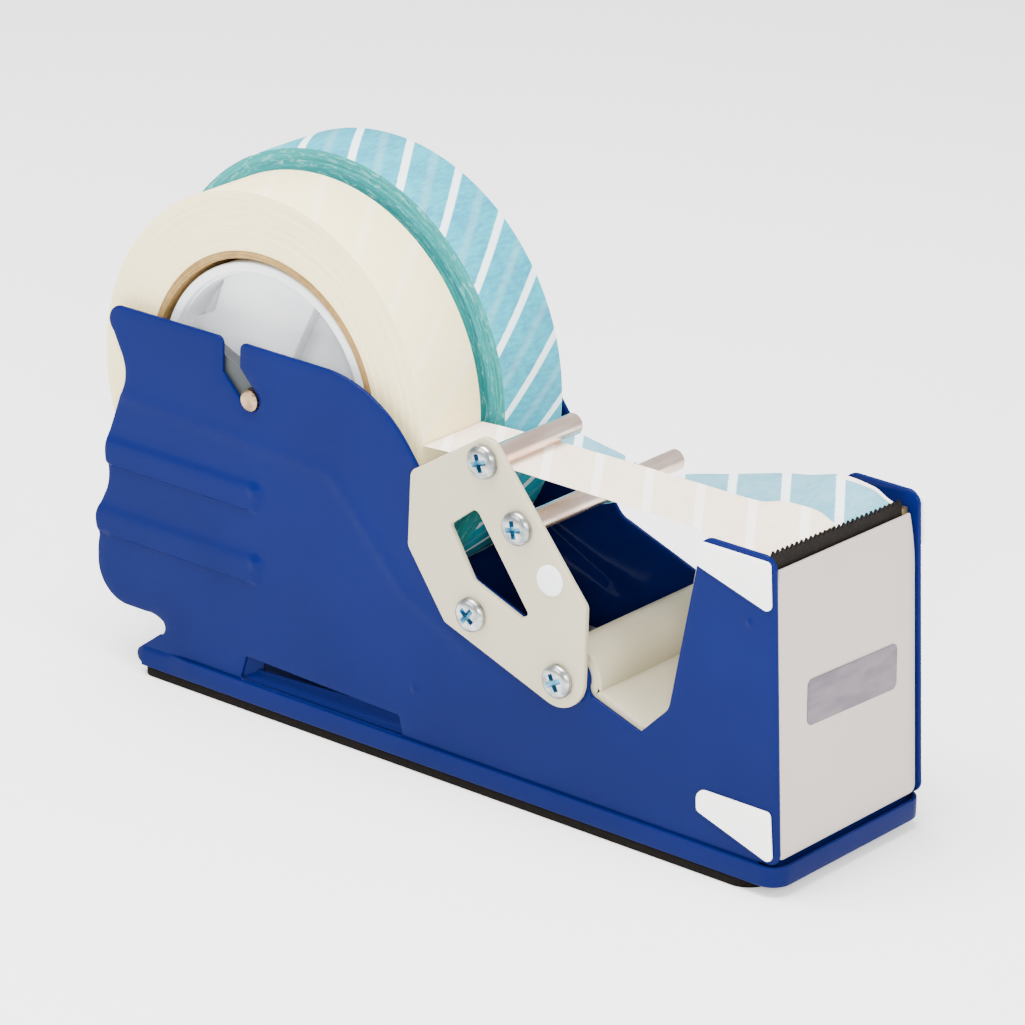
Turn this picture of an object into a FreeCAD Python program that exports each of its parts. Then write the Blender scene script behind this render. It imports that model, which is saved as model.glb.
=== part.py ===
"""Heavy-duty desk tape dispenser for two 24 mm rolls, as a parametric FreeCAD document.

Frame: +X runs to the blade end, -Y is the side with the guide bracket, +Z is up. The origin is on the
underside of the base pad, at the middle of the whole object. Lengths are in millimetres.
"""

import FreeCAD, Part
import math
import os
import Sketcher

os.makedirs("parts", exist_ok=True)
doc = FreeCAD.newDocument("TapeDispenser")
V = FreeCAD.Vector

# ---------------------------------------------------------------- driving dimensions
SIZES = {
    "sheet_steel": 1.2,
    "inside_half": 30.4,
    "pad_height": 2.8,
    "pad_half_width": 32.2,
    "pad_rear": -99.0,
    "pad_front": 114.5,
    "pad_corner": 7.0,
    "pad_rear_corner": 3.0,
    "hem_top": 8.7,
    "hem_rear": -88.0,
    "hem_corner": 6.0,
    "tray_rear": -97.0,
    "base_front": 122.5,
    "fit_gap": 0.2,
    "plate_top": 106.9,
    "column_top": 93.5,
    "rib_half_width": 5.2,
    "rib_height": 1.4,
    "louver_bottom": 8.7,
    "louver_top": 15.9,
    "louver_rear": -61.0,
    "louver_front": -4.6,
    "axle_x": -60.0,
    "axle_z": 91.3,
    "axle_radius": 3.0,
    "axle_half_length": 32.7,
    "slot_half": 3.1,
    "slot_rise": 7.0,
    "cover_foot_x": 121.5,
    "cover_lean": 3.43,
    "cover_bottom": 9.9,
    "cover_top": 88.7,
    "cover_return": 5.0,
    "blade_height": 93.5,
    "blade_depth": 13.0,
    "blade_thick": 0.75,
    "blade_near": -30.0,
    "tooth_pitch": 2.0,
    "tooth_height": 1.3,
    "tooth_count": 28,
    "carrier_thick": 1.3,
    "carrier_top": 89.2,
    "carrier_leg": 12.0,
    "nose_x": 52.5,
    "nose_z": 42.0,
    "nose_radius": 8.0,
    "bracket_thick": 1.8,
    "rod_radius": 3.0,
    "upper_rod_x": 23.2,
    "upper_rod_z": 95.9,
    "upper_rod_end": 4.5,
    "lower_rod_x": 35.2,
    "lower_rod_z": 80.4,
    "lower_rod_end": 34.0,
    "screw_head_radius": 4.7,
    "screw_head_height": 2.6,
    "shank_radius": 2.0,
    "plug_radius": 4.3,
    "corner_pad_thick": 0.9,
    "near_roll_radius": 57.2,
    "far_roll_radius": 62.4,
    "near_roll_y": -27.3,
    "far_roll_y": 1.0,
    "tape_width": 24.5,
    "core_outer": 40.5,
    "core_inner": 38.3,
    "hub_outer": 37.0,
    "hub_inner": 34.2,
    "hub_recess": 1.2,
    "hub_web": 2.0,
    "hub_web_depth": 6.5,
    "end_play": 0.2,
    "boss_radius": 6.0,
    "collar_radius": 9.0,
    "arm_reach": 20.0,
    "arm_half_width": 5.2,
    "arm_rise": 23.0,
    "bore_radius": 3.05,
    "web_thick": 0.3,
    "label_width": 39.0,
    "label_height": 12.6,
    "label_thick": 0.3,
    "clamp_hole": 1.75,
    "plug_hole": 2.9,
}
sheet = doc.addObject("Spreadsheet::Sheet", "Sizes")
for row, (alias, number) in enumerate(SIZES.items(), start=1):
    sheet.set(f"A{row}", alias)
    sheet.set(f"B{row}", str(number))
    sheet.setAlias(f"B{row}", alias)
doc.recompute()

nodes = []


def size(alias):
    """The number in the sheet's cell of that name."""
    return float(sheet.get(alias))


def finish_node(obj, label):
    """Names a finished sub-part and lists it for export."""
    obj.Label = label
    nodes.append(obj)
    return obj


# ---------------------------------------------------------------- sketch helpers
def start_body(name):
    return doc.addObject("PartDesign::Body", name + "_body")


def start_sketch(body, plane, name):
    sketch = body.newObject("Sketcher::SketchObject", name)
    origin_plane = [f for f in body.Origin.OriginFeatures if f.Role == plane][0]
    sketch.AttachmentSupport = [(origin_plane, "")]
    sketch.MapMode = "FlatFace"
    return sketch


def draw_path(sketch, start, steps, closed=True):
    """Adds lines and arcs from start. A step is (x, y) for a line, or (via, end) for an arc through via."""
    here = start
    for step in steps:
        if isinstance(step[0], tuple):
            via, end = step
            curve = Part.Arc(V(*here, 0), V(*via, 0), V(*end, 0))
        else:
            end = step
            curve = Part.LineSegment(V(*here, 0), V(*end, 0))
        index = sketch.addGeometry(curve, False)
        sketch.addConstraint(Sketcher.Constraint("Block", index))
        here = end
    if closed and here != start:
        index = sketch.addGeometry(Part.LineSegment(V(*here, 0), V(*start, 0)), False)
        sketch.addConstraint(Sketcher.Constraint("Block", index))


def draw_circle(sketch, centre, alias):
    """Adds a circle whose radius is bound to a cell of the sheet."""
    index = sketch.addGeometry(Part.Circle(V(*centre, 0), V(0, 0, 1), size(alias)), False)
    name = f"radius_{index}"
    sketch.addConstraint(Sketcher.Constraint("DistanceX", -1, 1, index, 3, centre[0]))
    sketch.addConstraint(Sketcher.Constraint("DistanceY", -1, 1, index, 3, centre[1]))
    last = sketch.addConstraint(Sketcher.Constraint("Radius", index, size(alias)))
    sketch.renameConstraint(last, name)
    sketch.setExpression(f".Constraints.{name}", f"Sizes.{alias}")


def rounded_corners(points, radius):
    """Turns a list of corners into a start point and path steps with every corner rounded."""
    count = len(points)
    stops = []
    for i, corner in enumerate(points):
        c = V(*corner, 0)
        before = (V(*points[i - 1], 0) - c).normalize()
        after = (V(*points[(i + 1) % count], 0) - c).normalize()
        half = before.getAngle(after) / 2
        r = radius[i] if isinstance(radius, (list, tuple)) else radius
        reach = r / math.tan(half)
        inward = (before + after).normalize()
        middle = c + inward * (r / math.sin(half) - r)
        stops.append((c + before * reach, middle, c + after * reach))
    start = (stops[0][0].x, stops[0][0].y)
    steps = []
    for i, (enter, middle, leave) in enumerate(stops):
        if i:
            steps.append((enter.x, enter.y))
        steps.append(((middle.x, middle.y), (leave.x, leave.y)))
    return start, steps


def pad_sketch(body, sketch, length, reverse=False):
    pad = body.newObject("PartDesign::Pad", sketch.Name + "_pad")
    pad.Profile = sketch
    pad.setExpression("Length", length)
    pad.Reversed = reverse
    sketch.Visibility = False
    return pad


def place(obj, x="0", y="0", z="0"):
    """Binds the position of an object to expressions in the sheet's sizes."""
    for axis, words in zip("xyz", (x, y, z)):
        obj.setExpression(f"Placement.Base.{axis}", words)


# ---------------------------------------------------------------- primitive helpers
def make_box(name, length, width, height, x, y, z):
    box = doc.addObject("Part::Box", name)
    box.setExpression("Length", length)
    box.setExpression("Width", width)
    box.setExpression("Height", height)
    place(box, x, y, z)
    return box


def rod_along_y(name, radius, length, x, y, z):
    """A cylinder that starts at y and runs along +Y."""
    rod = doc.addObject("Part::Cylinder", name)
    rod.setExpression("Radius", radius)
    rod.setExpression("Height", length)
    rod.Placement.Rotation = FreeCAD.Rotation(V(1, 0, 0), -90)
    place(rod, x, y, z)
    return rod


def cut(name, base, tool):
    result = doc.addObject("Part::Cut", name)
    result.Base = base
    result.Tool = tool
    return result


def fuse(name, pieces):
    result = doc.addObject("Part::MultiFuse", name)
    result.Shapes = pieces
    return result


def group(name, pieces):
    result = doc.addObject("Part::Compound", name)
    result.Links = pieces
    return result


def mirrored(source, label):
    """The same piece on the other side of the middle plane."""
    copy = doc.addObject("Part::Mirroring", label)
    copy.Source = source
    copy.Normal = V(0, 1, 0)
    return finish_node(copy, label)


# ---------------------------------------------------------------- side plates
def slot_walls():
    """Corners of the cranked axle slot: straight down from the top edge, then 45 degrees to the seat."""
    x, z, w = size("axle_x"), size("axle_z"), size("slot_half")
    middle = x - size("slot_rise")
    side = w / math.sqrt(2)
    rear_turn = z - side + ((x - side) - (middle - w))
    front_turn = z + side + ((x + side) - (middle + w))
    return {
        "rear_wall": middle - w,
        "front_wall": middle + w,
        "rear_turn": rear_turn,
        "front_turn": front_turn,
        "seat": [(x - side, z - side), (x + side, z - side), (x + side, z + side)],
    }


def plate_outline():
    """Side view of the pressed plate: wavy rear edge, cranked slot, shoulder, tape well and front column."""
    slot = slot_walls()
    top = size("plate_top")
    floor = size("pad_height") + size("sheet_steel")
    column = size("column_top")
    hem = size("hem_top")
    start = (-98.5, size("pad_height"))
    steps = [
        ((-101.6, 4.4), (-101.2, 7.2)),
        (-93.4, 13.2),
        ((-91.3, 15.5), (-92.8, 17.9)),
        ((-95.0, 18.7), (-98.5, 18.8)),
        (-106.0, 18.8),
        ((-113.6, 22.4), (-116.6, 30.4)),
        ((-116.5, 34.5), (-115.8, 38.4)),
        ((-116.9, 42.2), (-115.5, 47.0)),
        (-113.3, 51.6),
        ((-112.4, 56.0), (-112.9, 60.2)),
        ((-113.2, 64.6), (-111.9, 69.6)),
        (-108.0, 80.6),
        ((-106.1, 88.0), (-107.9, 94.0)),
        (-110.4, 99.0),
        ((-111.3, 104.6), (-107.2, top - 0.2)),
        (slot["rear_wall"] - 2.0, top),
        ((slot["rear_wall"] - 0.6, top - 0.6), (slot["rear_wall"], top - 2.0)),
        (slot["rear_wall"], slot["rear_turn"]),
        slot["seat"][0],
        (slot["seat"][1], slot["seat"][2]),
        (slot["front_wall"], slot["front_turn"]),
        (slot["front_wall"], top - 2.0),
        ((slot["front_wall"] + 0.6, top - 0.6), (slot["front_wall"] + 2.0, top)),
        (-34.4, top),
        ((-17.9, 103.1), (-4.7, 92.4)),
        (18.4, 62.6),
        ((19.9, 61.1), (22.0, 60.2)),
        (54.2, 48.7),
        ((57.9, 46.0), (58.8, 42.4)),
        ((58.9, 39.8), (60.6, 38.6)),
        (75.7, 33.6),
        (84.0, 42.0),
        ((84.7, 43.2), (85.1, 44.6)),
        (92.8, 88.2),
        ((94.0, 92.2), (97.4, column)),
        (112.6, column),
        ((116.0, 92.4), (117.2, 89.2)),
        (121.75, 13.4),
        ((120.9, 10.0), (117.6, hem + 0.3)),
        (115.5, hem + 0.3),
        (115.5, floor),
        (size("hem_rear") - size("fit_gap"), floor),
        (size("hem_rear") - size("fit_gap"), size("pad_height")),
    ]
    return start, steps


RIBS = [(-110.0, -54.0, 64.4), (-113.0, -53.5, 43.4)]
PLATE_SCREWS = [(20.3, 51.9), (50.0, 41.4)]


def rib_outline(rear, front, middle):
    """A long bead with a round front end, drawn about its middle height."""
    w = size("rib_half_width")
    start = (rear, middle + w)
    steps = [
        (front - w, middle + w),
        ((front, middle), (front - w, middle - w)),
        (rear, middle - w),
        ((rear - 1.6, middle), (rear, middle + w)),
    ]
    return start, steps


def side_plate(side, screw_holes):
    """The plate of the -Y side, with or without the holes for the bracket's screws."""
    body = start_body(side + "_side_plate")
    outline = start_sketch(body, "XZ_Plane", side + "_plate_outline")
    draw_path(outline, *plate_outline())
    louver_low, louver_high = size("louver_bottom"), size("louver_top")
    louver = [
        (size("louver_rear") - 2.0, louver_low),
        (size("louver_front"), louver_low),
        (size("louver_front") - 1.4, louver_high - 1.6),
        (size("louver_rear"), louver_high),
    ]
    draw_path(outline, *rounded_corners(louver, 0.8))
    for centre in screw_holes:
        draw_circle(outline, centre, "shank_radius")
    pad_sketch(body, outline, "Sizes.sheet_steel")
    for number, (rear, front, middle) in enumerate(RIBS, start=1):
        rib = start_sketch(body, "XZ_Plane", f"{side}_rib_{number}")
        draw_path(rib, *rib_outline(rear, front, middle))
        bead = pad_sketch(body, rib, "Sizes.sheet_steel + Sizes.rib_height")
        bead.TaperAngle = -30
    place(body, y="-Sizes.inside_half")
    return body


def side_plates():
    finish_node(side_plate("near", PLATE_SCREWS), "near_side_plate")
    mirrored(side_plate("far", []), "far_side_plate")


# ---------------------------------------------------------------- base
def base_tray():
    """A shallow tray whose turned-up hem runs along both sides and round the front corners."""
    body = start_body("base_tray")
    steel, rear, front = size("sheet_steel"), size("hem_rear"), size("base_front")
    half = size("inside_half") + 2 * steel
    radius = size("hem_corner")
    outer = start_sketch(body, "XY_Plane", "tray_outline")
    corners = [(rear, -half), (front, -half), (front, half), (rear, half)]
    draw_path(outer, *rounded_corners(corners, [0.5, radius, radius, 0.5]))
    pad_sketch(body, outer, "Sizes.hem_top - Sizes.pad_height")
    doc.recompute()
    inner = start_sketch(body, "XY_Plane", "tray_hollow")
    inner.AttachmentOffset = FreeCAD.Placement(V(0, 0, steel), FreeCAD.Rotation())
    inside = half - steel
    corners = [(rear - 5, -inside), (front - steel, -inside), (front - steel, inside), (rear - 5, inside)]
    draw_path(inner, *rounded_corners(corners, [0.5, radius - steel, radius - steel, 0.5]))
    hollow = body.newObject("PartDesign::Pocket", "tray_pocket")
    hollow.Profile = inner
    hollow.Length = 20
    hollow.Reversed = True
    inner.Visibility = False
    place(body, z="Sizes.pad_height")
    tongue = make_box("tray_tongue", "Sizes.hem_rear - Sizes.tray_rear + 1", "2 * Sizes.inside_half - 0.4",
                      "Sizes.sheet_steel", "Sizes.tray_rear", "0.2 - Sizes.inside_half", "Sizes.pad_height")
    upstand = make_box("tray_upstand", "Sizes.sheet_steel", "2 * Sizes.inside_half - 4", "11", "118",
                       "2 - Sizes.inside_half", "Sizes.pad_height")
    finish_node(fuse("tray", [body, tongue, upstand]), "base_tray")


def base_pad():
    body = start_body("base_pad")
    sketch = start_sketch(body, "XY_Plane", "pad_outline")
    rear, front, half = size("pad_rear"), size("pad_front"), size("pad_half_width")
    corners = [(rear, -half), (front, -half), (front, half), (rear, half)]
    rear_corner, front_corner = size("pad_rear_corner"), size("pad_corner")
    draw_path(sketch, *rounded_corners(corners, [rear_corner, front_corner, front_corner, rear_corner]))
    pad_sketch(body, sketch, "Sizes.pad_height")
    finish_node(body, "base_pad")


def ballast():
    """Cast blocks that hold the dispenser down: one on the tray under the well, one in the column."""
    floor = "Sizes.pad_height + Sizes.sheet_steel"
    near_end = "0.8 - Sizes.inside_half"
    between = "2 * Sizes.inside_half - 1.6"
    slab = make_box("ballast_slab", "70", between, "22.5", "2", near_end, floor)
    block = make_box("ballast_column", "15", between, "72", "95", near_end, floor)
    finish_node(slab, "base_ballast")
    finish_node(block, "column_ballast")


# ---------------------------------------------------------------- front cover, blade and carrier
def lean_with_cover(body):
    """Stands a body in the leaning frame of the front cover, whose outer face is its YZ plane."""
    body.Placement = FreeCAD.Placement(V(0, 0, 0), FreeCAD.Rotation(V(0, 1, 0), -size("cover_lean")))
    body.setExpression("Placement.Base.x", "Sizes.cover_foot_x")
    body.setExpression("Placement.Rotation.Angle", "Sizes.cover_lean")
    body.setExpression("Placement.Rotation.Axis.y", "-1")


def front_cover():
    body = start_body("front_cover")
    half = size("inside_half") - size("fit_gap")
    low, high = size("cover_bottom"), size("cover_top")
    face = start_sketch(body, "YZ_Plane", "cover_face")
    steps = [
        (half, low),
        (half, 70.0),
        ((half - 0.4, 80.0), (half - 2.0, high)),
        (2.0 - half, high),
        ((0.4 - half, 80.0), (-half, 70.0)),
    ]
    draw_path(face, (-half, low), steps)
    pad_sketch(body, face, "Sizes.sheet_steel", reverse=True)
    for name, y in (("near_return", -half), ("far_return", half - size("sheet_steel"))):
        fold = start_sketch(body, "YZ_Plane", name)
        other = y + size("sheet_steel")
        draw_path(fold, (y, low), [(other, low), (other, 70.0), (y, 70.0)])
        pad_sketch(body, fold, "Sizes.cover_return", reverse=True)
    lean_with_cover(body)
    finish_node(body, "front_cover")


SCREW_ROWS = (-15.0, 15.0)
CLAMP_HEIGHT = 84.4


def blade():
    body = start_body("cutting_blade")
    sketch = start_sketch(body, "YZ_Plane", "blade_outline")
    near, root = size("blade_near"), size("blade_height") - size("tooth_height")
    pitch, count = size("tooth_pitch"), int(size("tooth_count"))
    far = near + pitch * count
    steps = [(far, size("blade_height") - size("blade_depth")), (far, root)]
    for tooth in range(count, 0, -1):
        steps.append((near + pitch * (tooth - 0.5), size("blade_height")))
        steps.append((near + pitch * (tooth - 1), root))
    draw_path(sketch, (near, size("blade_height") - size("blade_depth")), steps)
    for y in SCREW_ROWS:
        draw_circle(sketch, (y, CLAMP_HEIGHT), "clamp_hole")
    pad_sketch(body, sketch, "Sizes.blade_thick", reverse=True)
    lean_with_cover(body)
    body.setExpression("Placement.Base.x", "Sizes.cover_foot_x - Sizes.sheet_steel - 0.05")
    finish_node(body, "cutting_blade")


def blade_carrier():
    """Angle strip behind the blade, with a landing for the tape along its top."""
    body = start_body("blade_carrier")
    half = size("inside_half") - 0.8
    top, leg = size("carrier_top"), size("carrier_leg")
    back = start_sketch(body, "YZ_Plane", "carrier_back")
    draw_path(back, (-half, top - leg), [(half, top - leg), (half, top), (-half, top)])
    for y in SCREW_ROWS:
        draw_circle(back, (y, CLAMP_HEIGHT), "clamp_hole")
    pad_sketch(body, back, "Sizes.carrier_thick", reverse=True)
    landing = start_sketch(body, "YZ_Plane", "carrier_landing")
    low = top - size("carrier_thick")
    draw_path(landing, (-half, low), [(half, low), (half, top), (-half, top)])
    pad_sketch(body, landing, "Sizes.carrier_leg", reverse=True)
    lean_with_cover(body)
    body.setExpression("Placement.Base.x",
                       "Sizes.cover_foot_x - Sizes.sheet_steel - Sizes.blade_thick - 0.1")
    finish_node(body, "blade_carrier")


def turned_piece(name, profile):
    """A solid turned about its own Z axis from a half profile of (radius, height) corners."""
    body = start_body(name)
    sketch = start_sketch(body, "XZ_Plane", name + "_profile")
    draw_path(sketch, profile[0], profile[1:])
    turn = body.newObject("PartDesign::Revolution", name + "_turn")
    turn.Profile = sketch
    turn.ReferenceAxis = (sketch, ["V_Axis"])
    turn.Angle = 360
    sketch.Visibility = False
    return body


def pan_head_profile(head_radius, head_height, shank_radius, shank_length):
    """Half profile of a pan-head screw: the head stands on +Z from 0, the shank runs to -Z."""
    return [
        (0.0, -shank_length),
        (shank_radius, -shank_length),
        (shank_radius, 0.0),
        (head_radius, 0.0),
        (head_radius, head_height * 0.45),
        ((head_radius * 0.84, head_height * 0.85), (head_radius * 0.45, head_height)),
        (0.0, head_height),
    ]


def recessed_screw(name, profile, recess_depth, head_height):
    """A turned screw with a cross recess in its head."""
    screw = turned_piece(name, profile)
    blades = []
    for turn in (0, 90):
        blade_cut = doc.addObject("Part::Box", f"{name}_slot_{turn}")
        blade_cut.Length, blade_cut.Width, blade_cut.Height = 4.6, 0.9, recess_depth + 1
        blade_cut.Placement = FreeCAD.Placement(V(0, 0, 0), FreeCAD.Rotation(V(0, 0, 1), turn)) * \
            FreeCAD.Placement(V(-2.3, -0.45, head_height - recess_depth), FreeCAD.Rotation())
        blades.append(blade_cut)
    cross = fuse(name + "_cross", blades)
    return cut(name + "_cut", screw, cross)


def blade_screws():
    screws = []
    angle = size("cover_lean")
    to_rear = FreeCAD.Rotation(V(0, 1, 0), -90 - angle)
    depth = size("sheet_steel") + 0.1 + size("blade_thick") + size("carrier_thick")
    lean = FreeCAD.Placement(V(size("cover_foot_x"), 0, 0), FreeCAD.Rotation(V(0, 1, 0), -angle))
    shank = size("blade_thick") + size("carrier_thick") + 0.1
    for number, y in enumerate(SCREW_ROWS, start=1):
        profile = pan_head_profile(3.0, 1.9, 1.5, shank)
        screw = recessed_screw(f"blade_screw_{number}", profile, 1.1, 1.9)
        seat = lean.multVec(V(-depth, y, CLAMP_HEIGHT))
        screw.Placement = FreeCAD.Placement(seat, to_rear)
        screws.append(screw)
    finish_node(group("clamp_screws", screws), "blade_screws")


def label_plate():
    body = start_body("label_plate")
    sketch = start_sketch(body, "YZ_Plane", "label_outline")
    half_w, half_h = size("label_width") / 2, size("label_height") / 2
    corners = [(-half_w, -half_h), (half_w, -half_h), (half_w, half_h), (-half_w, half_h)]
    draw_path(sketch, *rounded_corners(corners, 2.0))
    pad_sketch(body, sketch, "Sizes.label_thick")
    lean = FreeCAD.Placement(V(size("cover_foot_x"), 0, 0), FreeCAD.Rotation(V(0, 1, 0), -size("cover_lean")))
    body.Placement = lean * FreeCAD.Placement(V(0, 2.1, 49.0), FreeCAD.Rotation(V(1, 0, 0), -2.3))
    finish_node(body, "label_plate")


# ---------------------------------------------------------------- tape well cover
def well_cover():
    """One bent sheet: rolled nose, sloping floor of the well, and the back wall of the column.

    A flange at each end closes the gap between the sheet and the side plate.
    """
    x, z, r, t = size("nose_x"), size("nose_z"), size("nose_radius"), size("sheet_steel")

    def nose(radius, degrees):
        a = math.radians(degrees)
        return (x + radius * math.cos(a), z + radius * math.sin(a))

    inner = r - t
    start = nose(r, 205)
    steps = [
        (nose(r, 95), nose(r, -15)),
        (77.9, 33.2),
        (85.2, 41.0),
        (92.3, 84.0),
        (92.3 + t, 84.0),
        (85.2 + t, 40.5),
        (78.2, 31.7),
        nose(inner, -15),
        (nose(inner, 95), nose(inner, 205)),
    ]
    body = start_body("well_cover")
    sketch = start_sketch(body, "XZ_Plane", "cover_profile")
    draw_path(sketch, start, steps)
    pad = pad_sketch(body, sketch, "2 * (Sizes.inside_half - Sizes.fit_gap)")
    pad.Midplane = True
    flange_steps = [
        (nose(r - 0.1, 25), nose(r - 0.1, -15)),
        (77.9, 33.1),
        (85.3, 40.9),
        (92.4, 84.0),
        (94.7, 84.0),
        (87.6, 39.6),
        (78.6, 29.0),
        (54.9, 36.6),
        nose(r - 0.1, 72),
    ]
    ends = []
    starts = ("Sizes.inside_half - Sizes.fit_gap", "1 - Sizes.inside_half + Sizes.fit_gap")
    for number, y in enumerate(starts):
        end = start_body(f"cover_flange_{number}")
        shape = start_sketch(end, "XZ_Plane", f"flange_shape_{number}")
        draw_path(shape, nose(r - 0.1, 72), flange_steps)
        pad_sketch(end, shape, "1.0")
        place(end, y=y)
        ends.append(end)
    finish_node(fuse("cover_and_flanges", [body] + ends), "well_cover")


# ---------------------------------------------------------------- guide bracket, rods and their screws
BRACKET_CORNERS = [(-1.9, 86.6), (24.8, 104.0), (58.2, 64.2), (58.2, 29.8), (10.7, 46.9), (-2.4, 65.2)]
BRACKET_RADII = [3.0, 5.0, 2.5, 9.0, 2.0, 3.0]
WINDOW_CORNERS = [(11.9, 75.0), (20.8, 82.0), (39.3, 56.8), (36.6, 55.2), (20.4, 61.3)]
WINDOW_RADII = [1.2, 1.8, 0.9, 0.9, 1.2]
PLUG_CENTRE = (46.2, 68.6)


def guide_bracket():
    body = start_body("guide_bracket")
    sketch = start_sketch(body, "XZ_Plane", "bracket_outline")
    draw_path(sketch, *rounded_corners(BRACKET_CORNERS, BRACKET_RADII))
    draw_path(sketch, *rounded_corners(WINDOW_CORNERS, WINDOW_RADII))
    for centre in PLATE_SCREWS + rod_centres():
        draw_circle(sketch, centre, "shank_radius")
    draw_circle(sketch, PLUG_CENTRE, "plug_hole")
    pad_sketch(body, sketch, "Sizes.bracket_thick")
    place(body, y="-(Sizes.inside_half + Sizes.sheet_steel)")
    finish_node(body, "guide_bracket")


def rod_centres():
    return [
        (size("upper_rod_x"), size("upper_rod_z")),
        (size("lower_rod_x"), size("lower_rod_z")),
    ]


def guide_rods():
    """Plain rods, drilled for their screws, standing on the inside of the bracket."""
    seat = "-(Sizes.inside_half + Sizes.sheet_steel)"
    for which in ("upper", "lower"):
        x, z = f"Sizes.{which}_rod_x", f"Sizes.{which}_rod_z"
        length = f"Sizes.{which}_rod_end + Sizes.inside_half + Sizes.sheet_steel"
        bar = rod_along_y(which + "_bar", "Sizes.rod_radius", length, x, seat, z)
        drill = rod_along_y(which + "_drill", "Sizes.shank_radius", "12.5", x, seat, z)
        finish_node(cut(which + "_rod_cut", bar, drill), which + "_guide_rod")


def outside_screws(label, centres, shank_length):
    """Pan-head screws with their heads on the outside of the guide bracket."""
    screws = []
    face = -(size("inside_half") + size("sheet_steel") + size("bracket_thick"))
    for number, (x, z) in enumerate(centres, start=1):
        height = size("screw_head_height")
        profile = pan_head_profile(size("screw_head_radius"), height, size("shank_radius"), shank_length)
        screw = recessed_screw(f"{label}_{number}", profile, 1.5, height)
        tilt = FreeCAD.Rotation(V(0, 1, 0), 25 * number)
        screw.Placement = FreeCAD.Placement(V(x, face, z), tilt * FreeCAD.Rotation(V(1, 0, 0), 90))
        screws.append(screw)
    finish_node(group(label + "_group", screws), label)


def bracket_fasteners():
    outside_screws("rod_screws", rod_centres(), size("bracket_thick") + 12.0)
    outside_screws("bracket_screws", PLATE_SCREWS, size("bracket_thick") + size("sheet_steel") + 2.4)
    nuts = []
    for number, (x, z) in enumerate(PLATE_SCREWS, start=1):
        seat = (str(x), "-Sizes.inside_half", str(z))
        ring = rod_along_y(f"nut_{number}", "3.6", "2.4", *seat)
        bore = rod_along_y(f"nut_bore_{number}", "Sizes.shank_radius", "2.4", *seat)
        nuts.append(cut(f"clinch_nut_{number}", ring, bore))
    finish_node(group("nut_group", nuts), "bracket_clinch_nuts")


def hole_plug():
    """Domed plastic button that closes the bracket's spare hole."""
    radius, stem = size("plug_radius"), size("plug_hole")
    profile = [
        (0.0, -2.0),
        (stem, -2.0),
        (stem, 0.0),
        (radius, 0.0),
        (radius, 0.3),
        ((radius * 0.88, 0.62), (radius * 0.6, 0.8)),
        (0.0, 0.8),
    ]
    plug = turned_piece("hole_plug", profile)
    face = -(size("inside_half") + size("sheet_steel") + size("bracket_thick"))
    outward = FreeCAD.Rotation(V(1, 0, 0), 90)
    plug.Placement = FreeCAD.Placement(V(PLUG_CENTRE[0], face, PLUG_CENTRE[1]), outward)
    finish_node(plug, "hole_plug")


# ---------------------------------------------------------------- corner pads
UPPER_PAD = [(91.7, 92.2), (115.9, 92.2), (116.9, 78.2), (92.6, 85.4)]
LOWER_PAD = [(95.0, 24.0), (119.0, 24.0), (120.4, 9.4), (95.4, 17.6)]
PAD_RADII = [3.0, 1.4, 1.8, 1.4]


def corner_pads():
    """White pads stuck on the corners of the column; the far upper one stands past the edge."""
    pads = (("upper_corner_pad", UPPER_PAD, 2.2), ("lower_corner_pad", LOWER_PAD, 0.0))
    for name, corners, overhang in pads:
        for side, shift in (("near", 0.0), ("far", overhang)):
            body = start_body(f"{side}_{name}")
            sketch = start_sketch(body, "XZ_Plane", f"{side}_{name}_outline")
            moved = [(x + shift, z) for x, z in corners]
            draw_path(sketch, *rounded_corners(moved, PAD_RADII))
            pad_sketch(body, sketch, "Sizes.corner_pad_thick")
            outside = "Sizes.inside_half + Sizes.sheet_steel"
            place(body, y=f"-({outside})" if side == "near" else f"{outside} + Sizes.corner_pad_thick")
            finish_node(body, f"{side}_{name}")


# ---------------------------------------------------------------- axle, hubs, cores and tape
HUB_START = "Sizes.{side}_roll_y + Sizes.hub_recess"
HUB_LENGTH = "(Sizes.tape_width - 2 * Sizes.hub_recess)"


def ring_along_y(name, outer, inner, length, y):
    """A tube about the axle's line."""
    body = rod_along_y(name + "_outer", outer, length, "Sizes.axle_x", y, "Sizes.axle_z")
    hole = rod_along_y(name + "_inner", inner, length, "Sizes.axle_x", y, "Sizes.axle_z")
    return cut(name + "_ring", body, hole)


def arm_on_collar(collar, length, start):
    """The near collar with a flat, round-tipped arm that points rearward and a little up from the axle."""
    bar = doc.addObject("Part::Box", "arm_bar")
    bar.setExpression("Length", "Sizes.arm_reach")
    bar.setExpression("Width", length)
    bar.setExpression("Height", "2 * Sizes.arm_half_width")
    turn = FreeCAD.Rotation(V(0, 1, 0), 180 + size("arm_rise"))
    corner = V(0, size("end_play") - size("inside_half"), -size("arm_half_width"))
    centre = V(size("axle_x"), 0, size("axle_z"))
    bar.Placement = FreeCAD.Placement(centre, turn) * FreeCAD.Placement(corner, FreeCAD.Rotation())
    tip_x = "Sizes.axle_x - Sizes.arm_reach * cos(Sizes.arm_rise)"
    tip_z = "Sizes.axle_z + Sizes.arm_reach * sin(Sizes.arm_rise)"
    tip = rod_along_y("arm_tip", "Sizes.arm_half_width", length, tip_x, start, tip_z)
    axle_hole = rod_along_y("arm_hole", "Sizes.axle_radius", length, "Sizes.axle_x", start, "Sizes.axle_z")
    arm = cut("arm", fuse("arm_bar_and_tip", [bar, tip]), axle_hole)
    return fuse("collar_and_arm", [collar, arm])


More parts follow.
